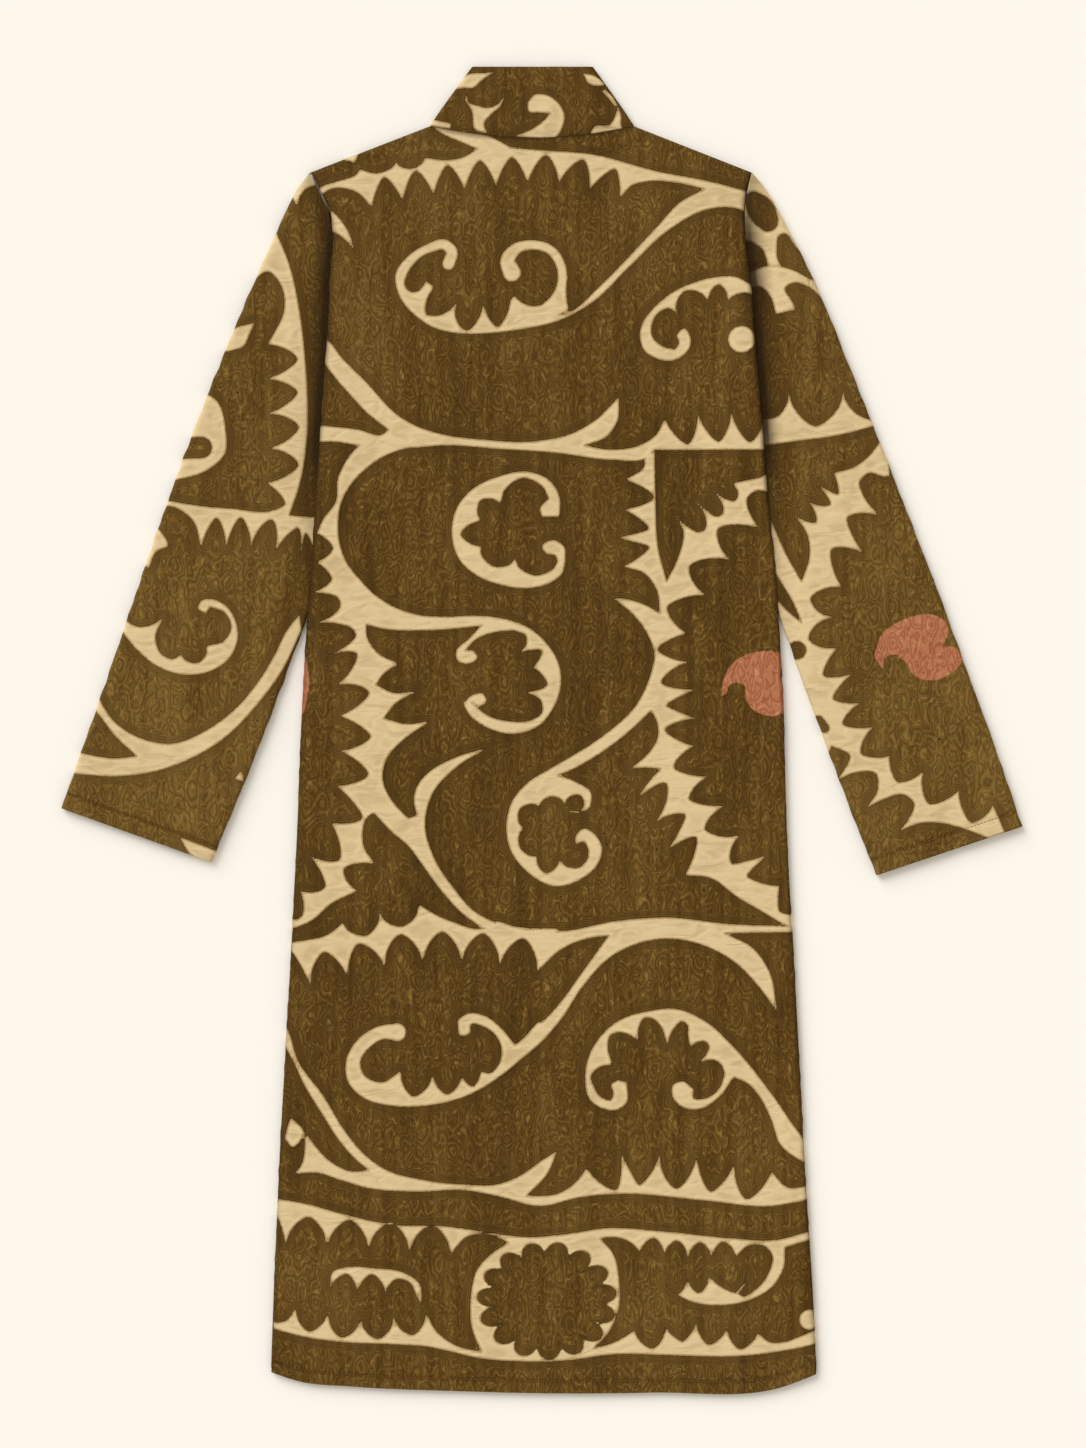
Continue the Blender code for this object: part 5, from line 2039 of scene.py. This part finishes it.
    def cotton(self, nodes: Nodes, depth: Value, fine: Value, slow: Value,
               wrinkle: Value) -> bpy.types.NodeSocket:
        """The bare cream cotton: puckered, with painted shade in the puckers, a painted highlight beside the
        olive and a brown line of painted shade at its edge.

        Args:
            nodes: The material's nodes.
            depth: How deep the place lies inside the olive, negative on the cotton.
            fine: Fine noise.
            slow: Noise over the whole garment.
            wrinkle: The puckers.

        Returns:
            The colour.
        """
        # Painted shade in the puckers, with tone that differs at random
        shade = wrinkle.between(0.60, 0.32) * 0.55 + (0.5 - slow) * 0.9 + (fine - 0.5) * 0.2
        # Painted highlight on the cotton just beside the olive
        shade = (shade - depth.near(-2.6, 2.2) * 0.35).math("MAXIMUM", 0.0)
        ground = nodes.mix(shade, self.cream, self.cream_deep)
        # Painted shade: a brown line at the foot of the raised olive
        return nodes.mix(depth.near(-0.4, 1.5) * 0.85, ground, self.painted_edge_shade)

    def thread(self) -> bpy.types.Material:
        """The sewing thread, a little lighter than the olive.

        Returns:
            The material.
        """
        nodes = Nodes(self.thread_name)
        grain = nodes.noise((700.0, 700.0, 700.0))
        nodes.feed(nodes.shader.inputs["Base Color"], nodes.mix(grain, self.olive, self.olive_lit))
        nodes.shader.inputs["Roughness"].default_value = self.roughness
        nodes.shader.inputs["Specular IOR Level"].default_value = 0.15
        return nodes.material

    def dress_thread(self, obj: bpy.types.Object) -> None:
        """Gives a row of stitches its thread."""
        found = bpy.data.materials.get(self.thread_name)
        obj.data.materials.append(found or self.thread())

    def dress(self, obj: bpy.types.Object) -> None:
        """Gives a piece this cloth."""
        found = bpy.data.materials.get(self.name)
        obj.data.materials.append(found or self.material())


@dataclass
class Room:
    """The floor, the lights and the camera, straight above the garment."""

    frame_height: float = 1.3032
    distance: float = 3.0
    aim: Point = (0.0009, 0.0058)
    sensor: float = 24.0
    floor_half: float = 6.0
    floor_level: float = -0.4 * MM
    floor_colour: Colour = (0.925, 0.898, 0.848, 1.0)
    sky_colour: Colour = (1.0, 0.94, 0.85, 1.0)
    sky_strength: float = 0.70

    def floor(self) -> None:
        """A pale plain floor under the garment, larger than any view needs."""
        mesh = bpy.data.meshes.new("floor")
        size, low = self.floor_half, self.floor_level
        mesh.from_pydata([(-size, -size, low), (size, -size, low), (size, size, low), (-size, size, low)], [],
                         [(0, 1, 2, 3)])
        obj = bpy.data.objects.new("floor", mesh)
        bpy.context.scene.collection.objects.link(obj)
        nodes = Nodes("pale_floor")
        nodes.shader.inputs["Base Color"].default_value = self.floor_colour
        nodes.shader.inputs["Roughness"].default_value = 0.95
        nodes.shader.inputs["Specular IOR Level"].default_value = 0.0
        mesh.materials.append(nodes.material)

    def sun(self, way: tuple, spread_angle: float, strength: float, colour: tuple) -> None:
        """A wide soft sun, which lights the whole floor alike.

        Args:
            way: Where the light stands, as seen from the garment.
            spread_angle: How wide it looks, in radians. More gives softer shadows.
            strength: Its strength in watts per square metre.
            colour: Its colour.
        """
        lamp = bpy.data.lights.new("key", "SUN")
        lamp.angle, lamp.energy, lamp.color = spread_angle, strength, colour
        obj = bpy.data.objects.new("key", lamp)
        obj.location = way
        obj.rotation_euler = Vector(way).to_track_quat("Z", "Y").to_euler()
        bpy.context.scene.collection.objects.link(obj)

    def build(self) -> None:
        """Makes the room and sets the camera and the world."""
        self.floor()
        self.sun((-1.1, 1.3, 1.1), 0.75, 2.32, (0.922, 0.957, 1.0))
        world = bpy.data.worlds.new("soft_sky")
        world.use_nodes = True
        world.node_tree.nodes["Background"].inputs[0].default_value = self.sky_colour
        world.node_tree.nodes["Background"].inputs[1].default_value = self.sky_strength
        bpy.context.scene.world = world
        lens = bpy.data.cameras.new("camera")
        lens.sensor_fit, lens.sensor_height = "VERTICAL", self.sensor
        lens.lens = self.sensor * self.distance / self.frame_height
        lens.clip_end = 20.0
        camera = bpy.data.objects.new("camera", lens)
        camera.location = (*self.aim, self.distance)
        bpy.context.scene.collection.objects.link(camera)
        bpy.context.scene.camera = camera
        bpy.context.scene.view_settings.view_transform = "Standard"


def main() -> None:
    """Builds the room and the garment's pieces in order."""
    logging.basicConfig(level=logging.INFO, format="%(name)s: %(message)s")
    cut, finish = Cut(), Embroidery()
    Room().build()
    fronts, sleeves = [Front(cut, side) for side in Side], [Sleeve(cut, side) for side in Side]
    pieces = [Back(cut), *fronts, *sleeves, Collar(cut)]
    for piece in pieces:
        obj = piece.build(finish)
        log.info("%s is in place", obj.name)


if __name__ == "__main__":
    main()
